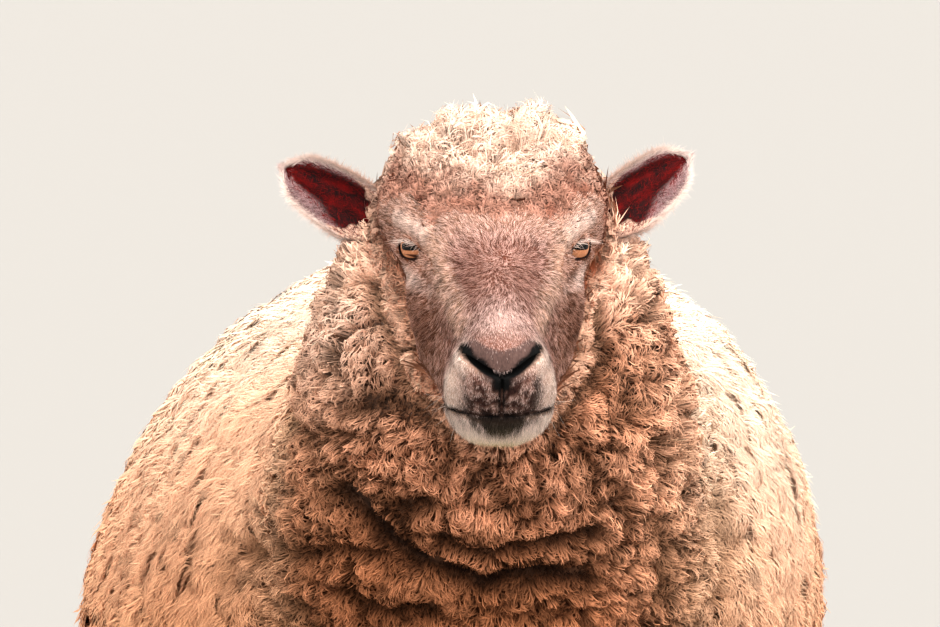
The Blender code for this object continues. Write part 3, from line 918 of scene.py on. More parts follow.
def ribbons(name, stations, across, tops, shades, spots):
    """Thin tapering ribbons as one mesh: stations (n, k, 3), half widths as vectors (n, k - 1, 3).

    Each ribbon is shaded with the outward directions in tops, so that the coat looks as soft as its form,
    and takes up a small patch of the bake map at its own spot.
    """
    count, steps = stations.shape[:2]
    pairs = steps - 1
    corners = 2 * pairs + 1
    points = np.empty((count, corners, 3))
    points[:, 0:-1:2] = stations[:, :-1] - across
    points[:, 1:-1:2] = stations[:, :-1] + across
    points[:, -1] = stations[:, -1]
    strip = []
    for k in range(pairs - 1):
        strip += [(2 * k, 2 * k + 3, 2 * k + 1), (2 * k, 2 * k + 2, 2 * k + 3)]
    strip.append((2 * pairs - 2, 2 * pairs, 2 * pairs - 1))
    strip = np.array(strip)
    faces = (np.arange(count)[:, None, None] * corners + strip).reshape(-1, 3)
    mesh = mesh_of(name, points.reshape(-1, 3), faces)
    set_tint(mesh, np.repeat(shades, 2, axis=1)[:, :-1].reshape(-1, 3))
    offsets = np.empty((corners, 2))
    offsets[:, 1] = np.repeat(np.linspace(0, 1, steps), 2)[:-1] - 0.5
    offsets[:, 0] = np.where(np.arange(corners) % 2 == 0, -0.5, 0.5)
    offsets[-1, 0] = 0
    place = (spots[:, None] + PATCH * offsets).reshape(-1, 2)
    layer = mesh.uv_layers.new(name=BAKE_MAP, do_init=False)
    layer.uv.foreach_set("vector", place[faces].astype(np.float32).ravel())
    mesh.shade_smooth()
    soft = np.repeat(tops, 2, axis=1)[:, :-1].reshape(-1, 3)
    mesh.normals_split_custom_set_from_vertices(unit(soft).astype(np.float32))
    return add(name, mesh)


LONGEST_FOLD = [
    (-0.108, 0.582),
    (-0.081, 0.550),
    (-0.041, 0.529),
    (-0.026, 0.522),
    (-0.011, 0.528),
    (0.044, 0.524),
]
# The folds of the fleece, seen from in front: (x and z of its course, how deep it goes, half its thickness)
FOLDS = [
    (LONGEST_FOLD, 0.95, 0.0055),
    ([(-0.052, 0.553), (-0.030, 0.547), (0.010, 0.547), (0.047, 0.556)], 0.85, 0.0036),
    ([(-0.105, 0.513), (-0.090, 0.504), (-0.055, 0.500)], 0.85, 0.0045),
    ([(-0.134, 0.534), (-0.110, 0.544), (-0.086, 0.540), (-0.065, 0.534)], 0.75, 0.0042),
    ([(-0.058, 0.631), (-0.077, 0.642), (-0.096, 0.641)], 0.75, 0.0042),
    ([(-0.045, 0.621), (-0.052, 0.601)], 0.65, 0.0036),
    ([(-0.024, 0.604), (-0.038, 0.584)], 0.65, 0.0032),
    ([(-0.019, 0.591), (-0.012, 0.580)], 0.60, 0.0030),
    ([(0.004, 0.607), (0.012, 0.585), (0.008, 0.570)], 0.50, 0.0030),
    ([(0.032, 0.618), (0.044, 0.598), (0.047, 0.580)], 0.55, 0.0034),
    ([(-0.076, 0.573), (-0.061, 0.580)], 0.90, 0.0055),
    ([(-0.090, 0.712), (-0.085, 0.689), (-0.079, 0.660), (-0.070, 0.643), (-0.046, 0.624)], 0.60, 0.0036),
    ([(0.050, 0.700), (0.056, 0.674), (0.048, 0.658), (0.031, 0.637), (0.019, 0.625)], 0.68, 0.0038),
    ([(0.058, 0.590), (0.070, 0.568), (0.066, 0.548)], 0.60, 0.0040),
    ([(0.088, 0.560), (0.098, 0.538), (0.094, 0.505)], 0.60, 0.0060),
    ([(-0.035, 0.512), (0.000, 0.500), (0.040, 0.503)], 0.55, 0.0042),
    ([(-0.120, 0.480), (-0.070, 0.462), (-0.020, 0.468), (0.050, 0.455)], 0.75, 0.0060),
    ([(-0.090, 0.435), (-0.010, 0.420), (0.080, 0.430)], 0.65, 0.0065),
    ([(-0.171, 0.588), (-0.186, 0.560), (-0.175, 0.526), (-0.178, 0.500)], 0.80, 0.0055),
    ([(-0.200, 0.556), (-0.186, 0.558)], 0.60, 0.0040),
    ([(-0.162, 0.515), (-0.150, 0.524)], 0.65, 0.0045),
    ([(-0.139, 0.616), (-0.131, 0.621)], 0.60, 0.0050),
    ([(0.135, 0.560), (0.150, 0.530), (0.142, 0.495)], 0.45, 0.0060),
]


def wandering_creases(points):
    """Small creases between the folds: deep on the neck and chest, faint elsewhere."""
    x, y, z = points.T
    ruff = ramp(-0.20, -0.30, y) * ramp(0.21, 0.13, np.abs(x + 0.02)) * ramp(0.745, 0.70, z)
    wide = np.exp(-((noise(points * (1, 1, 1.3), 0.036, 55) / 0.105) ** 2))
    fine = np.exp(-((noise(points * (1, 1, 1.2), 0.019, 56) / 0.12) ** 2))
    broken = ramp(-0.5, 0.4, noise(points, 0.030, 57))
    return (0.04 + 0.76 * ruff) * broken * np.maximum(wide, 0.6 * fine)


def fold_depth(points):
    """0 on the plain coat, and up to 1 deep in a fold of the neck or chest."""
    deepest = np.zeros(len(points))
    near = np.flatnonzero((points[:, 1] < -0.18) & (points[:, 2] > 0.38))
    spots = points[near]
    seen = spots[:, [0, 2]].copy()
    for axis, seed in ((0, 51), (1, 52)):
        seen[:, axis] += 0.0045 * noise(spots, 0.021, seed) + 0.0022 * noise(spots, 0.008, seed + 2)
    for course, deep, thick in FOLDS:
        best = np.full(len(near), 1.0)
        for off in legs_apart(seen, course):
            gap = np.hypot(off[:, 0], off[:, 1]) * np.where(off[:, 1] < 0, 0.62, 1.0)
            best = np.minimum(best, gap)
        depth = 0.74 * np.exp(-((best / (1.25 * thick)) ** 2))
        depth = depth + 0.26 * np.exp(-((best / (3.6 * thick)) ** 2))
        deepest[near] = np.maximum(deepest[near], deep * depth)
    return np.maximum(deepest * ramp(-0.18, -0.25, points[:, 1]), wandering_creases(points))


# How high each station of a strand stands, as a share of the coat's depth, and how many times its width
# the strand is there
LIFTS = (-0.05, 0.90, 1.0, 0.95)
TAPER = (1.6, 1.2, 1.0)
# Locks are broader than they are high: the space that they are dealt out in is stretched by this
LOCK_SHAPE = np.array((0.85, 1.0, 1.25))
SMALL_LOCK = 0.4
FELT_SHARE = 0.20
FELT_SUNK = 0.0012
# A strand looks this far ahead for a fold and runs short before one; it leans over by the fold's slope,
# measured over a small step, and up to a limit
LOOK_AHEAD = 0.0060
SLOPE_STEP = 0.0020
STEEPEST = 1.6
# Wool in shade is redder, as light that has passed through it is
SHADE_WARMTH = np.array((1.0, 0.82, 0.65))


def grown_locks(base, look, rng, seed):
    """The stations, half widths, outward directions and colours, with painted shade, of the strands that
    stand at these places.

    Each strand rises from the skin inside its lock, then runs on along the rounded top of the lock. The
    strands of a lock fall into smaller ones, whose strands lie side by side. Broad strands felt the wool
    together just under the fine ones.
    """
    roots, normals = base["points"], base["normals"]
    count = len(roots)
    size = look["lock"]
    centre, number = nearest_lock(roots * LOCK_SHAPE, size, seed)
    small_centre, small_number = nearest_lock(roots, size * SMALL_LOCK, seed + 50)
    offset = flattened(roots - centre / LOCK_SHAPE, normals)
    small_offset = flattened(roots - small_centre, normals)
    reach = 0.66 * size
    lie = unit(flattened(base["lie"], normals))
    side = np.cross(normals, lie)
    angle = look["swirl"] * (1.3 * noise(roots, 0.024, seed + 9) + 1.8 * (small_number - 0.5))
    angle = angle + rng.normal(0, 1, count) * look["frizz"]
    heading = lie * np.cos(angle)[:, None] + side * np.sin(angle)[:, None]
    beside = np.cross(normals, heading)
    steps = len(LIFTS)
    felt = rng.random(count) < FELT_SHARE
    turn = look["curl"] * rng.normal(0.6, 0.8, count) * np.where(small_number > 0.5, 1, -1) * ~felt
    run = look["run"] * rng.uniform(0.7, 1.3, count) * np.where(felt, 0.8, 1.0)
    spire = look["spire"] * rng.uniform(0.4, 1.0, count) * ~felt
    peak = look["peak"] * (0.15 + 0.85 * number**2) * rng.uniform(0.5, 1.0, count)
    stray = (rng.random(count) < look["stray"]) * rng.uniform(0.3, 1.0, count) * ~felt
    fluff = rng.normal(0, 1, (count, steps)) * (look["fluff"] * ~felt)[:, None]
    depth = base["depth"] * (0.86 + 0.16 * number)
    relief = np.minimum(look["relief"], 0.5 * depth)
    small_relief = np.minimum(look["small_relief"], 0.2 * depth)
    before = fold_depth(roots)
    run = run * (1 - 0.80 * np.maximum(before, fold_depth(roots + heading * LOOK_AHEAD)))
    slant = np.zeros((count, 3))
    for way in (heading, beside):
        slant += way * ((fold_depth(roots + way * SLOPE_STEP) - before) / SLOPE_STEP)[:, None]
    slant = slant * (0.84 * depth)[:, None]
    slant = slant / np.maximum(1, np.linalg.norm(slant, axis=-1, keepdims=True) / STEEPEST)
    place = offset.copy()
    stations = np.empty((count, steps, 3))
    across = np.empty((count, steps - 1, 3))
    tops = np.empty((count, steps, 3))
    shades = np.empty((count, steps))
    for k in range(steps):
        t = max(0, (k - 1) / (steps - 2))
        bend = turn * t
        ahead = heading * np.cos(bend)[:, None] + beside * np.sin(bend)[:, None]
        if k > 1:
            stride = run * (1 - 0.6 * spire) / (steps - 2)
            place = place + ahead * stride[:, None] - offset * (0.8 * spire / (steps - 2))[:, None]
        away = np.clip(np.linalg.norm(place * LOCK_SHAPE, axis=-1) / reach, 0, 1.25)
        small_place = small_offset + place - offset
        small_away = np.clip(np.linalg.norm(small_place, axis=-1) / (SMALL_LOCK * reach), 0, 1.3)
        on_skin = roots + place - offset
        folded = fold_depth(on_skin) if k else before
        sunk = relief * away**2 + small_relief * small_away**2
        lift = (depth * (1 - 0.90 * folded) - sunk * (1 - 0.6 * folded)) * LIFTS[k]
        inward = np.clip(1.2 - np.linalg.norm(offset, axis=-1) / reach, 0.2, 1.0)
        lift = lift + peak * inward * (0.80 + 0.20 * t) * (k > 0)
        lift = lift + depth * spire * t * 0.6 + (fluff[:, k] + 0.008 * stray * t**2) * (k > 0)
        lift = lift - np.where(felt, FELT_SUNK, 0) * (k > 0)
        stations[:, k] = on_skin + normals * lift[:, None]
        # Painted shade: darker in the folds, at the sunk edges of the locks and towards the roots of the
        # strands
        edge_shade = 1 - look["edge"] * (sunk / (relief + small_relief)) ** 1.5
        shades[:, k] = (1 - 0.97 * folded**1.4) ** 1.5 * edge_shade
        shades[:, k] *= look["deep"] if k == 0 else (0.5 + 0.5 * look["deep"] if k == 1 else 1)
        slope = (2 * relief / reach**2)[:, None] * place + (0.7 * peak / reach)[:, None] * unit(offset)
        small_slope = (1.2 * small_relief / (SMALL_LOCK * reach) ** 2)[:, None] * small_place
        tops[:, k] = unit(normals + slope + small_slope + slant)
        if k < steps - 1:
            twist = look["twist"] * rng.normal(0, 1, count)
            out = np.cross(tops[:, k], ahead) + tops[:, k] * twist[:, None]
            width = look["width"] * TAPER[k] * np.where(felt, look["felt"], 1)
            across[:, k] = unit(out) * (width / 2)[:, None]
    soiled = np.where(small_number < look["soiled"], 0.66, 1.0)
    strand = 1 + look["streaks"] * rng.normal(0, 1, count) + 0.12 * (small_number - 0.5)
    # Strays are paler and soiled locks darker; felted strands, lying under the fine ones, carry the roots'
    # painted shade
    strand = strand * (1 + 0.35 * (stray > 0)) * soiled * np.where(felt, 0.5 + 0.5 * look["deep"], 1.0)
    tints = base["tint"][:, None] * (shades * strand[:, None])[..., None]
    paleness = 0.5 + 1.2 * base["tint"][:, 2] / base["tint"][:, 0]
    warmth = SHADE_WARMTH ** (paleness[:, None] * (1 - np.clip(shades, 0, 1)))[..., None]
    return stations, across, tops, tints * warmth


def split_names(name, count):
    parts = max(1, math.ceil(count / PIECE_STRANDS))
    return [f"{name}_{k + 1}" for k in range(parts)] if parts > 1 else [name]


def lie_of_wool(points, regions):
    """Which way the wool runs: down and back on the body, and away from the face on the neck and crown."""
    x, y, z = points.T
    aside = 0.9 * np.sign(x) * ramp(0.64, 0.70, z)
    body = np.stack([aside, np.full(len(x), 0.35), np.full(len(x), -1.0)], -1)
    from_face = unit(points - from_head([(0, -0.02, -0.03)]))
    neck = from_face + np.array((0, 0, -0.4))
    crown = HEAD_TURN @ np.array((0, 0.9, 0.5)) + 0.5 * from_face
    lie = mixed(body, neck, ramp(-0.22, -0.34, y))
    return mixed(lie, crown, regions["head"]) + 0.25 * noise_vectors(points, 0.05, 61)


def turned_to_viewer(normals):
    return (normals @ HEAD_TURN) @ TO_VIEWER


def shown_front(points, normals):
    """1 where the head, neck and shoulders are seen from close in front, and 0 behind and below."""
    facing = ramp(-0.30, 0.22, turned_to_viewer(normals))
    return facing * ramp(0.32, 0.02, points[:, 1]) * ramp(0.41, 0.47, points[:, 2])


def ruff_share(points, head):
    """1 on the front of the neck and on the chest."""
    return ramp(-0.20, -0.30, points[:, 1]) * ramp(0.20, 0.13, np.abs(points[:, 0] + 0.02)) * (1 - head)


def locks_for(base):
    """What the locks are like: small and fine on the head and neck, and broader towards the rump.

    lock is their width, run the length of a strand's top, felt how many times broader a felted strand is,
    peak and spire how far a lock stands up, relief how far its edges sink, deep and edge how much painted
    shade darkens the roots of the wool and the edges of its locks, and the others how much the strands
    stray, curl or differ.
    """
    head, shown, leg = base["head"], base["shown"], base["leg"]
    points = base["points"]
    ruff = ruff_share(points, head)
    # How strongly the ruff's roots and lock edges get painted shade: less on the lit upper neck
    ruff_shade = ruff * (1 - 0.80 * lit_upper_neck(points))
    topknot = head * ramp(0.060, 0.085, base["behind"])
    brow = head * (1 - topknot)
    calm = 1 - 0.75 * head * ramp(0.030, -0.010, in_head(points)[:, 2])
    lock = 0.032 - 0.009 * ruff - 0.020 * brow - 0.010 * topknot - 0.008 * leg
    lock = lock * (1 + 0.35 * noise(points, 0.07, 64))
    return {
        "lock": np.maximum(np.round(lock / 0.004), 2) * 0.004,
        "run": 0.028 - 0.015 * shown - 0.003 * ruff - 0.005 * brow - 0.008 * leg,
        "width": 0.0030 - 0.00250 * shown - 0.0006 * leg - 0.00004 * head,
        "felt": 2.3 + 1.1 * shown,
        "swirl": (0.32 + 0.30 * ruff + 0.65 * brow + 0.55 * topknot) * calm,
        "curl": (0.40 + 0.5 * ruff + 0.7 * head + 0.8 * topknot) * calm,
        "spire": 0.22 * topknot,
        "peak": 0.019 * topknot,
        "stray": 0.05 + 0.12 * topknot,
        "fluff": 0.0005 + 0.0010 * topknot + 0.0003 * ruff,
        "frizz": (0.13 + 0.11 * ruff + 0.20 * head) * calm,
        "relief": 0.0030 + 0.0030 * ruff - 0.0010 * brow + 0.0030 * topknot,
        "small_relief": 0.0008 + 0.0018 * ruff + 0.0006 * head,
        "edge": 0.06 + 0.46 * ruff_shade + 0.20 * brow + 0.16 * topknot,
        "deep": 0.84 - 0.46 * ruff_shade,
        "twist": 0.06 + 0.10 * head,
        "streaks": 0.035 + 0.045 * ruff + 0.030 * head,
        "soiled": 0.01 + 0.08 * ruff + 0.05 * brow,
    }


def make_fleece(skin, corners, material):
    rng = np.random.default_rng(20)
    density = (0.10 + 0.90 * corners["shown"]) * (1 + 0.6 * corners["head"])
    density = density * (corners["woolly"] > 0.3) * (corners["ear"] < 0.5)
    own, bary = scattered(skin.data, density, STRAND_COUNT, rng)
    base = {key: at(value, own, bary) for key, value in corners.items()}
    base["normals"] = unit(base["normals"])
    keep = rng.random(STRAND_COUNT) < ramp(0.30, 0.75, base["woolly"])
    base = {key: value[keep] for key, value in base.items()}
    y = base["points"][:, 1]
    masks = {
        "wool_head": base["head"] > 0.5,
        "wool_tail": base["tail"] > 0.5,
        "wool_thighs": base["leg"] > 0.5,
        "wool_neck": y < -0.27,
        "wool_shoulders": y < -0.02,
        "wool_belly": base["normals"][:, 2] < -0.55,
        "wool_back": base["normals"][:, 2] > 0.60,
        "wool_flanks": y < 0.30,
        "wool_rump": y < np.inf,
    }
    # A strand belongs to the first piece whose mask it is in
    free = np.ones(len(y), bool)
    for name, mask in masks.items():
        chosen = np.flatnonzero(mask & free)
        free[chosen] = False
        names = split_names(name, len(chosen))
        spots = unwrapped(unit(base["points"][chosen] - base["points"][chosen].mean(0)))
        for k, part in enumerate(names):
            own_base = {key: value[chosen[k :: len(names)]] for key, value in base.items()}
            strands = grown_locks(own_base, locks_for(own_base), rng, 5)
            piece = ribbons(part, *strands, spots[k :: len(names)])
            piece.data.materials.append(material)
            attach(piece, BODY)


# ---------------------------------------------------------------- short hair


def short_hairs(name, base, rng, material):
    """Flat-lying hairs, each one long thin triangle; a measure may be one number for all of them."""
    roots, normals, length = base["roots"], base["normals"], base["length"]
    count = len(roots)
    lie = unit(flattened(base["lie"], normals))
    side = np.cross(normals, lie)
    angle = rng.normal(0, 0.25, count)[:, None]
    ahead = lie * np.cos(angle) + side * np.sin(angle)
    out = np.cross(normals, ahead) + normals * rng.normal(0, 0.2, (count, 1))
    length = (length * rng.uniform(0.6, 1.4, count))[:, None]
    rise = (base["lift"] * rng.uniform(0.3, 1.7, count))[:, None]
    tips = roots + (ahead + normals * rise) * length
    stations = np.stack([roots - normals * 0.0003, tips], 1)
    half_width = np.broadcast_to(base["width"] / 2, count)
    across = (out * half_width[:, None])[:, None]
    shades = base["tint"][:, None] * np.array([0.80, 1.10])[None, :, None]
    tops = np.repeat(normals[:, None], 2, axis=1)
    piece = ribbons(name, stations, across, tops, shades, unwrapped(unit(roots - roots.mean(0))))
    piece.data.materials.append(material)
    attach(piece, BODY)
    return piece


def rooted(skin, corners, weights, count, rng):
    """Where hairs stand on the skin, and the skin's normals there."""
    own, bary = scattered(skin.data, weights, count, rng)
    return at(corners["points"], own, bary), unit(at(corners["normals"], own, bary))


def streaked(tints, rng, pale_share, pale):
    """Each hair's own colour: some pale, some dark, the rest between."""
    pick = rng.random(len(tints))
    darkest = 0.28 + 0.36 * ramp(0.30, 0.60, tints.mean(-1))
    dark = tints * np.where(pick > 0.62, darkest, 0.5 + 0.5 * darkest)[:, None]
    blend = 0.50 * ramp(0.02, 0.20, tints.mean(-1))
    return np.where((pick < pale_share)[:, None], mixed(tints * 1.3, pale, blend), dark)


def make_face_hair(skin, corners, material):
    rng = np.random.default_rng(21)
    points = corners["points"]
    m = mirrored(in_head(points))
    bare = ramp(0.0038, 0.0029, gap_to_path(m, NOSTRIL_PATH))
    bare = np.maximum(bare, ramp(0.0020, 0.0008, lid_gap(points)))
    bare = np.maximum(bare, ramp(0.0034, 0.0022, gap_to_path(m, MOUTH_PATH)))
    bare = np.maximum(bare, 0.30 * ramp(0.3, 0.8, near_to(m, LOWER_LIP, LOWER_LIP_REACH)))
    bare = np.maximum(bare, 0.98 * ramp(0.0066, 0.0058, gap_to_path(m, NOSE_PAD)))
    facing = ramp(-0.35, 0.25, turned_to_viewer(corners["normals"]))
    weights = corners["head"] * ramp(0.014, 0.004, corners["behind"]) * (1 - bare) * (1 - corners["ear"])
    weights = weights * (0.15 + 0.85 * facing) * ramp(0.35, 0.5, points[:, 2])
    roots, normals = rooted(skin, corners, weights, FACE_HAIRS, rng)
    q = in_head(roots)
    away = q - WHORL
    away[:, 2] -= 0.35 * ramp(-0.03, -0.09, q[:, 1]) * np.abs(away[:, 1])
    away += 0.020 * noise_vectors(q, 0.016, 71)
    away += rng.normal(0, 0.0070, away.shape)
    muzzle = ramp(-0.105, -0.130, q[:, 1])
    chin = muzzle * ramp(-0.050, -0.060, q[:, 2])
    by_eye = 0.25 + 0.75 * ramp(0.001, 0.009, lid_gap(roots))
    base = {
        "roots": roots,
        "normals": normals,
        "lie": unit(away) @ HEAD_TURN.T,
        "length": (0.0060 - 0.0034 * muzzle + 0.0050 * chin) * by_eye,
        "width": 0.00046 - 0.00010 * muzzle,
        "lift": 0.11 + 0.12 * chin,
        "tint": streaked(face_tint(roots), rng, 0.38, PALE_NOSE),
    }
    short_hairs("face_hair", base, rng, material)


def make_lashes(side, material):
    """Pale lashes that droop from the upper lid over the eye."""
    rng = np.random.default_rng(31 + SIDES[side])
    count = LASHES
    gaze, inner, up = (np.array(v) for v in eye_axes(side))
    spots = np.array([lid_outline(a) for a in rng.uniform(0.10, 0.98, count) * math.pi])
    lift = spots[:, 1] + rng.uniform(0.0002, 0.0022, count)
    radius = EYE_RADIUS + LID_THICKNESS
    forward = np.sqrt(np.maximum(radius**2 - spots[:, 0] ** 2 - lift**2, 1e-6))
    away = inner * spots[:, :1] + up * lift[:, None] + gaze * forward[:, None]
    base = {
        "roots": np.array(eye_centre(side)) + away,
        "normals": unit(away),
        "lie": -0.5 * up - 0.8 * inner + rng.normal(0, 0.3, (count, 3)),
        "length": rng.uniform(0.0030, 0.0062, count),
        "width": 0.00026,
        "lift": rng.uniform(0.7, 1.5, count),
        "tint": mixed(np.tile(WHITE_HAIR, (count, 1)), MAUVE, rng.random(count) * 0.8),
    }
    short_hairs(f"lashes_{side}", base, rng, material)


def make_whiskers(skin, corners, material):
    """A few long pale whiskers at the corners of the mouth."""
    rng = np.random.default_rng(33)
    m = mirrored(in_head(corners["points"]))
    weights = corners["head"] * near_to(m, (0.031, -0.120, -0.052), (0.010, 0.014, 0.012))
    roots, normals = rooted(skin, corners, weights * (weights > 0.2), WHISKERS, rng)
    outward = np.tile((0.0, -0.1, -0.8), (WHISKERS, 1))
    outward[:, 0] = np.sign(in_head(roots)[:, 0]) * 0.5
    base = {
        "roots": roots,
        "normals": normals,
        "lie": outward @ HEAD_TURN.T + rng.normal(0, 0.15, (WHISKERS, 3)),
        "length": rng.uniform(0.010, 0.022, WHISKERS),
        "width": 0.00022,
        "lift": rng.uniform(0.4, 0.8, WHISKERS),
        "tint": np.tile(WHITE_HAIR, (WHISKERS, 1)),
    }
    short_hairs("whiskers", base, rng, material)


def make_leg_hair(skin, corners, material):
    rng = np.random.default_rng(22)
    weights = corners["leg"] * (1 - corners["woolly"]) * ramp(0.030, 0.045, corners["points"][:, 2])
    roots, normals = rooted(skin, corners, weights, LEG_HAIRS, rng)
    base = {
        "roots": roots,
        "normals": normals,
        "lie": np.tile((0.0, 0.15, -1.0), (LEG_HAIRS, 1)),
        "length": 0.012,
        "width": 0.0016,
        "lift": 0.12,
        "tint": streaked(np.tile(LEG_HAIR, (LEG_HAIRS, 1)), rng, 0.4, WHITE_HAIR),
    }
    short_hairs("leg_hair", base, rng, material)


def make_ear_hair(side, material):
    """Pale fringes along the rims of the ears, and short hair on their backs and in their hollows."""
    rng = np.random.default_rng(23 + SIDES[side])
    count = EAR_HAIRS
    at_tip = 0.70 + 0.30 * np.sin(rng.uniform(0.35, 1.48, count))
    along = np.where(rng.random(count) < 0.70, rng.uniform(0.02, 0.81, count), at_tip)
    kind = rng.random(count)
    rim = kind < 0.66
    hollow = (kind > 0.66) & (kind < 0.86)
    edge = rng.choice((-1.0, 1.0), count)
    band = 0.10 + np.where(edge < 0, 0.45 * ramp(0.35, 0.65, along), 0.16)
    band = band * ramp(-0.2, 0.5, along + 0.3 * (edge > 0))
    inset = rng.random(count) ** 1.5
    across = np.where(rim, edge * (1 - band * inset), rng.uniform(-0.9, 0.9, count))
    face = np.where(rim, rng.choice((-1.0, -1.0, 1.0), count), np.where(hollow, -1.0, 1.0))
    root = ear_points(along, across, face)
    ahead = ear_points(np.minimum(along + 0.02, 1.02), across, face) - root
    over = ear_points(along, across + 0.02, face) - root
    normal = unit(np.cross(ahead, over))
    normal = normal * np.where(normal[:, 1] * face > 0, 1, -1)[:, None]
    near_tip = ramp(0.80, 0.97, along)
    outward = unit(over) * (edge * (1 - near_tip))[:, None]
    lie = unit(ahead) * (0.35 + near_tip)[:, None] + np.where(rim, 1.0, 0.1)[:, None] * outward
    place = ear_matrix(side)
    turned = np.array(place)[:3, :3].T
    inner_band = rim * (face < 0) * ramp(0.08, 0.30, inset * band + rng.normal(0, 0.06, count))
    tint = np.where(rim[:, None], EAR_RIM, EAR_BACK)
    tint = mixed(tint, EAR_MAUVE * rng.uniform(0.35, 1.0, (count, 1)), inner_band)
    inside = mixed(EAR_DEEP, EAR_RED * 1.35, rng.random(count) ** 1.5)
    tint = np.where(hollow[:, None], inside, tint)
    base = {
        "roots": moved(root, place),
        "normals": unit(normal @ turned),
        "lie": unit(lie + rng.normal(0, 0.28, (count, 3))) @ turned,
        "length": np.where(rim, rng.uniform(0.0022, 0.0058, count), 0.0045),
        "width": np.where(rim, 0.00036, 0.00050),
        "lift": np.where(rim, rng.uniform(0.05, 0.8, count), 0.15),
        "tint": tint * rng.normal(1, 0.14, (count, 1)),
    }
    short_hairs(f"ear_hair_{side}", base, rng, material)


# ---------------------------------------------------------------- eyes and hooves


def make_eye(side, material):
    """The ball of the eye: an amber iris, and a pupil like a level slot."""
    forward = HEAD_TURN @ np.array((0.0, -1.0, 0.0))
    heading = math.atan2(forward[1], forward[0]) + SIDES[side] * GAZE_SPREAD
    optic = unit(np.array((math.cos(heading), math.sin(heading), 0.02)))
    over = unit(np.cross((0, 0, 1), optic))
    top = np.cross(optic, over)
    around = 96
    polar = np.concatenate([np.linspace(0.004, 0.95, 64), np.linspace(1.0, 3.10, 24)])[:, None]
    angles = np.arange(around) * 2 * math.pi / around
    radius = EYE_RADIUS + CORNEA_BULGE * np.exp(-((polar / 0.62) ** 4))
    a = radius * np.sin(polar) * np.cos(angles)
    b = radius * np.sin(polar) * np.sin(angles)
    c = radius * np.cos(polar) * np.ones(around)
    points = a[..., None] * over + b[..., None] * top + c[..., None] * optic
    eye = tube(f"eyeball_{side}", points.reshape(-1, 3) + np.array(eye_centre(side)), around)
    out = np.hypot(a, b).ravel()
    ring = np.stack([np.cos(angles) * 3, np.sin(angles) * 3, angles * 0], -1)
    rays = 0.5 + 0.5 * noise(ring, 0.24, 95)
    iris = mixed(IRIS_BROWN, IRIS_AMBER, np.tile(rays, len(polar)))
    iris = mixed(iris, IRIS_RIM, ramp(0.0078, 0.0102, out))
    tint = mixed(iris, LID_DARK, ramp(0.0102, 0.0109, out))
    slot = np.abs(a.ravel() / PUPIL_HALF_LENGTH) ** 3.2 + np.abs(b.ravel() / PUPIL_HALF_HEIGHT) ** 3.2
    set_tint(eye.data, mixed(tint, HOLLOW_SHADE * 0.5, ramp(1.3, 0.8, slot)))
    eye.data.shade_smooth()
    eye.data.materials.append(material)
    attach(eye, BODY)
    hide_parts(f"eye_{side}")


SOLE_DEPTH = 0.0008
# The growth rings of a claw: how far they stand out, and how fast their wave turns with height
RING_HEIGHT = 0.00025
RING_TURN = 1900


def make_horn(node, material):
    """A claw with its edges rounded, growth rings round it and its sole still flat on the floor, or a
    rounded dewclaw."""
    piece = remeshed(solid_copy("horn_" + node, [node], grow=0.0), HORN_VOXEL, 6)
    points = points_of(piece.data)
    low = points[:, 2].min()
    if node.startswith("claw"):
        points[:, 2] = np.where(points[:, 2] < low + SOLE_DEPTH, 0.0, np.maximum(points[:, 2], 0))
        ring = RING_HEIGHT * np.sin(points[:, 2] * RING_TURN + 2.5 * noise(points, 0.02, 91))
        points += normals_of(piece.data) * (ring * ramp(0.003, 0.008, points[:, 2]))[:, None]
    set_points(piece.data, points)
    piece.data.shade_smooth()
    piece.data.materials.append(material)
    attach(piece, BODY)
    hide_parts(node)


# ---------------------------------------------------------------- materials


class Finish:
    """A material and short ways to add nodes to it."""

    def __init__(self, name, roughness, **sockets):
        self.material = bpy.data.materials.new(name)
        self.material.use_nodes = True
        self.tree = self.material.node_tree
        self.shader = self.tree.nodes["Principled BSDF"]
        self.shader.inputs["Roughness"].default_value = roughness
        for socket, value in sockets.items():
            self.shader.inputs[socket.replace("_", " ")].default_value = value

    def node(self, kind, **settings):
        """A new node; a setting is one of its inputs, with _ for each space, or a property of its own."""
        made = self.tree.nodes.new(kind)
        for key, value in settings.items():
            socket = key.replace("_", " ")
            if socket in made.inputs:
                made.inputs[socket].default_value = value
            else:
                setattr(made, key, value)
        return made

    def link(self, out, into):
        self.tree.links.new(out, into)

    def noise(self, scale, detail, distortion=0.0, stretch=(1, 1, 1)):
        place = self.node("ShaderNodeTexCoord")
        mapping = self.node("ShaderNodeMapping", Scale=stretch)
        self.link(place.outputs["Object"], mapping.inputs["Vector"])
        pattern = self.node("ShaderNodeTexNoise", Scale=scale, Detail=detail, Distortion=distortion)
        self.link(mapping.outputs["Vector"], pattern.inputs["Vector"])
        return pattern.outputs["Fac"]

    def tinted(self, fac, low, high):
        """The mesh's own tint, made darker and lighter by a pattern."""
        own = self.node("ShaderNodeVertexColor", layer_name=TINT)
        spread = self.node("ShaderNodeMapRange", From_Min=0.3, From_Max=0.7, To_Min=low, To_Max=high)
        self.link(fac, spread.inputs["Value"])
        scaled = self.node("ShaderNodeVectorMath", operation="SCALE")
        self.link(own.outputs["Color"], scaled.inputs[0])
        self.link(spread.outputs["Result"], scaled.inputs["Scale"])
        self.link(scaled.outputs["Vector"], self.shader.inputs["Base Color"])

    def bumped(self, fac, strength, distance):
        bump = self.node("ShaderNodeBump", Strength=strength, Distance=distance)
        self.link(fac, bump.inputs["Height"])
        self.link(bump.outputs["Normal"], self.shader.inputs["Normal"])


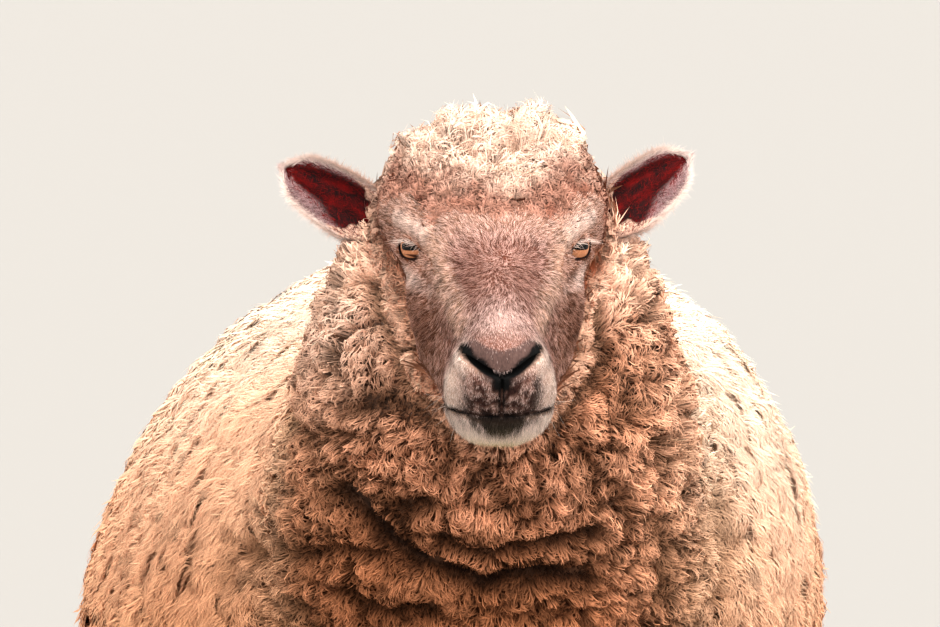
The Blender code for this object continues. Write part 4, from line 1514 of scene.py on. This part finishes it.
def tinted_finish(name, roughness, specular, pattern, low, high, grain=()):
    """The mesh's own tint, varied by a pattern, and a fine grain in the surface where one is given."""
    finish = Finish(name, roughness, Specular_IOR_Level=specular)
    finish.tinted(finish.noise(*pattern), low, high)
    if grain:
        finish.bumped(finish.noise(*grain), 0.5, 0.0006)
    return finish.material


SKIN_STREAKS = (520, 3, 0.4, (1.6, 0.5, 0.8))
SKIN_GRAIN = (900, 2, 0.2, (1.4, 0.5, 0.8))


def horn_finish():
    finish = Finish("hoof_horn", 0.55)
    bands = finish.noise(70, 5, 0.6, (0.5, 0.5, 6))
    colours = finish.node("ShaderNodeValToRGB")
    for stop, tone, position in zip(colours.color_ramp.elements, (HORN_DARK, HORN_PALE), (0.3, 0.7)):
        stop.color = (*tone, 1)
        stop.position = position
    finish.link(bands, colours.inputs["Fac"])
    finish.link(colours.outputs["Color"], finish.shader.inputs["Base Color"])
    finish.bumped(bands, 0.4, 0.001)
    return finish.material


FLOOR_COLOUR = (0.30, 0.29, 0.275, 1)


def floor_finish():
    finish = Finish("pale_floor", 0.9)
    finish.shader.inputs["Base Color"].default_value = FLOOR_COLOUR
    return finish.material


# ---------------------------------------------------------------- the studio


FLOOR_RADIUS = 90
SKY_COLOUR = (1.0, 0.97, 0.94, 1)
SKY_STRENGTH = 0.60
# Each light's name, strength, the way towards it, its spread in degrees, and its colour
LIGHTS = [
    ("sky_light", 4.8, (0.04, -0.24, 1.0), 55, (1.0, 0.97, 0.93)),
    ("left_light", 3.1, (1.0, -0.75, 0.50), 50, (1.0, 0.96, 0.92)),
    ("right_light", 1.4, (-1.0, -0.75, 0.50), 50, (1.0, 0.96, 0.92)),
    ("front_light", 1.0, (-0.35, -1.0, 0.65), 60, (1.0, 0.95, 0.90)),
]


def make_stage():
    bm = bmesh.new()
    bmesh.ops.create_circle(bm, cap_ends=True, radius=FLOOR_RADIUS, segments=96)
    floor = piece_of("floor", bm)
    floor.data.materials.append(floor_finish())
    for name, strength, way, spread, tone in LIGHTS:
        light = bpy.data.lights.new(name, "SUN")
        light.energy = strength
        light.angle = math.radians(spread)
        light.color = tone
        add(name, light).rotation_euler = Vector(way).to_track_quat("Z", "Y").to_euler()
    world = bpy.data.worlds.new("studio")
    world.use_nodes = True
    background = world.node_tree.nodes["Background"]
    background.inputs["Color"].default_value = SKY_COLOUR
    background.inputs["Strength"].default_value = SKY_STRENGTH
    bpy.context.scene.world = world
    bpy.context.scene.view_settings.view_transform = "Standard"


def make_camera():
    """In front of the head, a little above it and a little to the ewe's right."""
    azimuth = math.radians(-5)
    elevation = math.radians(5)
    distance = 5.0
    frame_width = 0.630
    aim_right = -0.01675
    aim_up = -0.0466
    sensor = 36.0
    data = bpy.data.cameras.new("camera")
    data.sensor_width = sensor
    data.lens = sensor * distance / frame_width
    data.clip_end = 300
    level = math.cos(elevation)
    back = Vector((math.sin(azimuth) * level, -math.cos(azimuth) * level, math.sin(elevation)))
    camera = add("camera", data)
    right = Vector((math.cos(azimuth), math.sin(azimuth), 0))
    up = right.cross(-back)
    aim = HEAD.translation + right * aim_right + up * aim_up
    camera.location = aim + back * distance
    camera.rotation_mode = "QUATERNION"
    camera.rotation_quaternion = (-back).to_track_quat("-Z", "Y")
    bpy.context.scene.camera = camera


# ---------------------------------------------------------------- the ewe


def surveyed(skin):
    """What the coat is like at every corner of the skin."""
    points = points_of(skin.data)
    normals = normals_of(skin.data)
    corners = coat_regions(points)
    share, tint = ear_shares(points)
    corners.update(points=points, normals=normals, ear=share, ear_tint=tint)
    corners["shown"] = shown_front(points, normals)
    corners["lie"] = lie_of_wool(points, corners)
    corners["tint"] = wool_tint(points, corners)
    # How much painted shade the skin gets: in the folds, and under the ruff
    corners["dark"] = np.maximum(fold_depth(points), 0.6 * ruff_share(points, corners["head"]))
    return corners


# How much darker the skin is than the hair on it
UNDER_HAIR = np.array((0.46, 0.37, 0.33))


def finish_skin(skin, corners, material):
    """Gives the skin the markings of the coat that stands on it, and painted shade under the wool, deepest
    in the folds and under the ruff.
    """
    short = mixed(face_tint(corners["points"]) * UNDER_HAIR, LEG_HAIR * 0.7, corners["leg"])
    # Painted shade: the skin under the wool is darker, most in the folds and under the ruff
    shaded_under_wool = corners["tint"] * (0.80 * (1 - 0.97 * corners["dark"]) ** 1.5)[:, None]
    tint = mixed(short, shaded_under_wool, corners["woolly"])
    tint = mixed(tint, corners["ear_tint"], corners["ear"])
    set_tint(skin.data, tint)
    skin.data.materials.clear()
    skin.data.materials.append(material)
    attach(skin, BODY)
    flesh = ["trunk", "neck", "tail", "head", "lower_jaw", "ear_left", "ear_right"]
    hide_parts(*flesh, *[f"leg_{end}_{side}" for end, side in FEET])


def make_ewe():
    skin = make_skin()
    corners = surveyed(skin)
    skin_look = tinted_finish("short_haired_skin", 0.75, 0.08, SKIN_STREAKS, 0.72, 1.20, SKIN_GRAIN)
    finish_skin(skin, corners, skin_look)
    wool = tinted_finish("crimped_wool", 0.95, 0.06, (900, 3), 0.80, 1.20)
    make_fleece(skin, corners, wool)
    hair = tinted_finish("flat_lying_hair", 0.75, 0.08, (300, 2), 0.88, 1.12)
    make_face_hair(skin, corners, hair)
    make_whiskers(skin, corners, hair)
    make_leg_hair(skin, corners, hair)
    eye = tinted_finish("wet_eye", 0.08, 0.14, (900, 2), 0.85, 1.12)
    for side in SIDES:
        make_ear_hair(side, hair)
        make_lashes(side, hair)
        make_eye(side, eye)
    horn = horn_finish()
    for end, side in FEET:
        for kind, half in itertools.product(("claw", "dewclaw"), ("outer", "inner")):
            make_horn(f"{kind}_{end}_{side}_{half}", horn)


make_ewe()
make_stage()
make_camera()
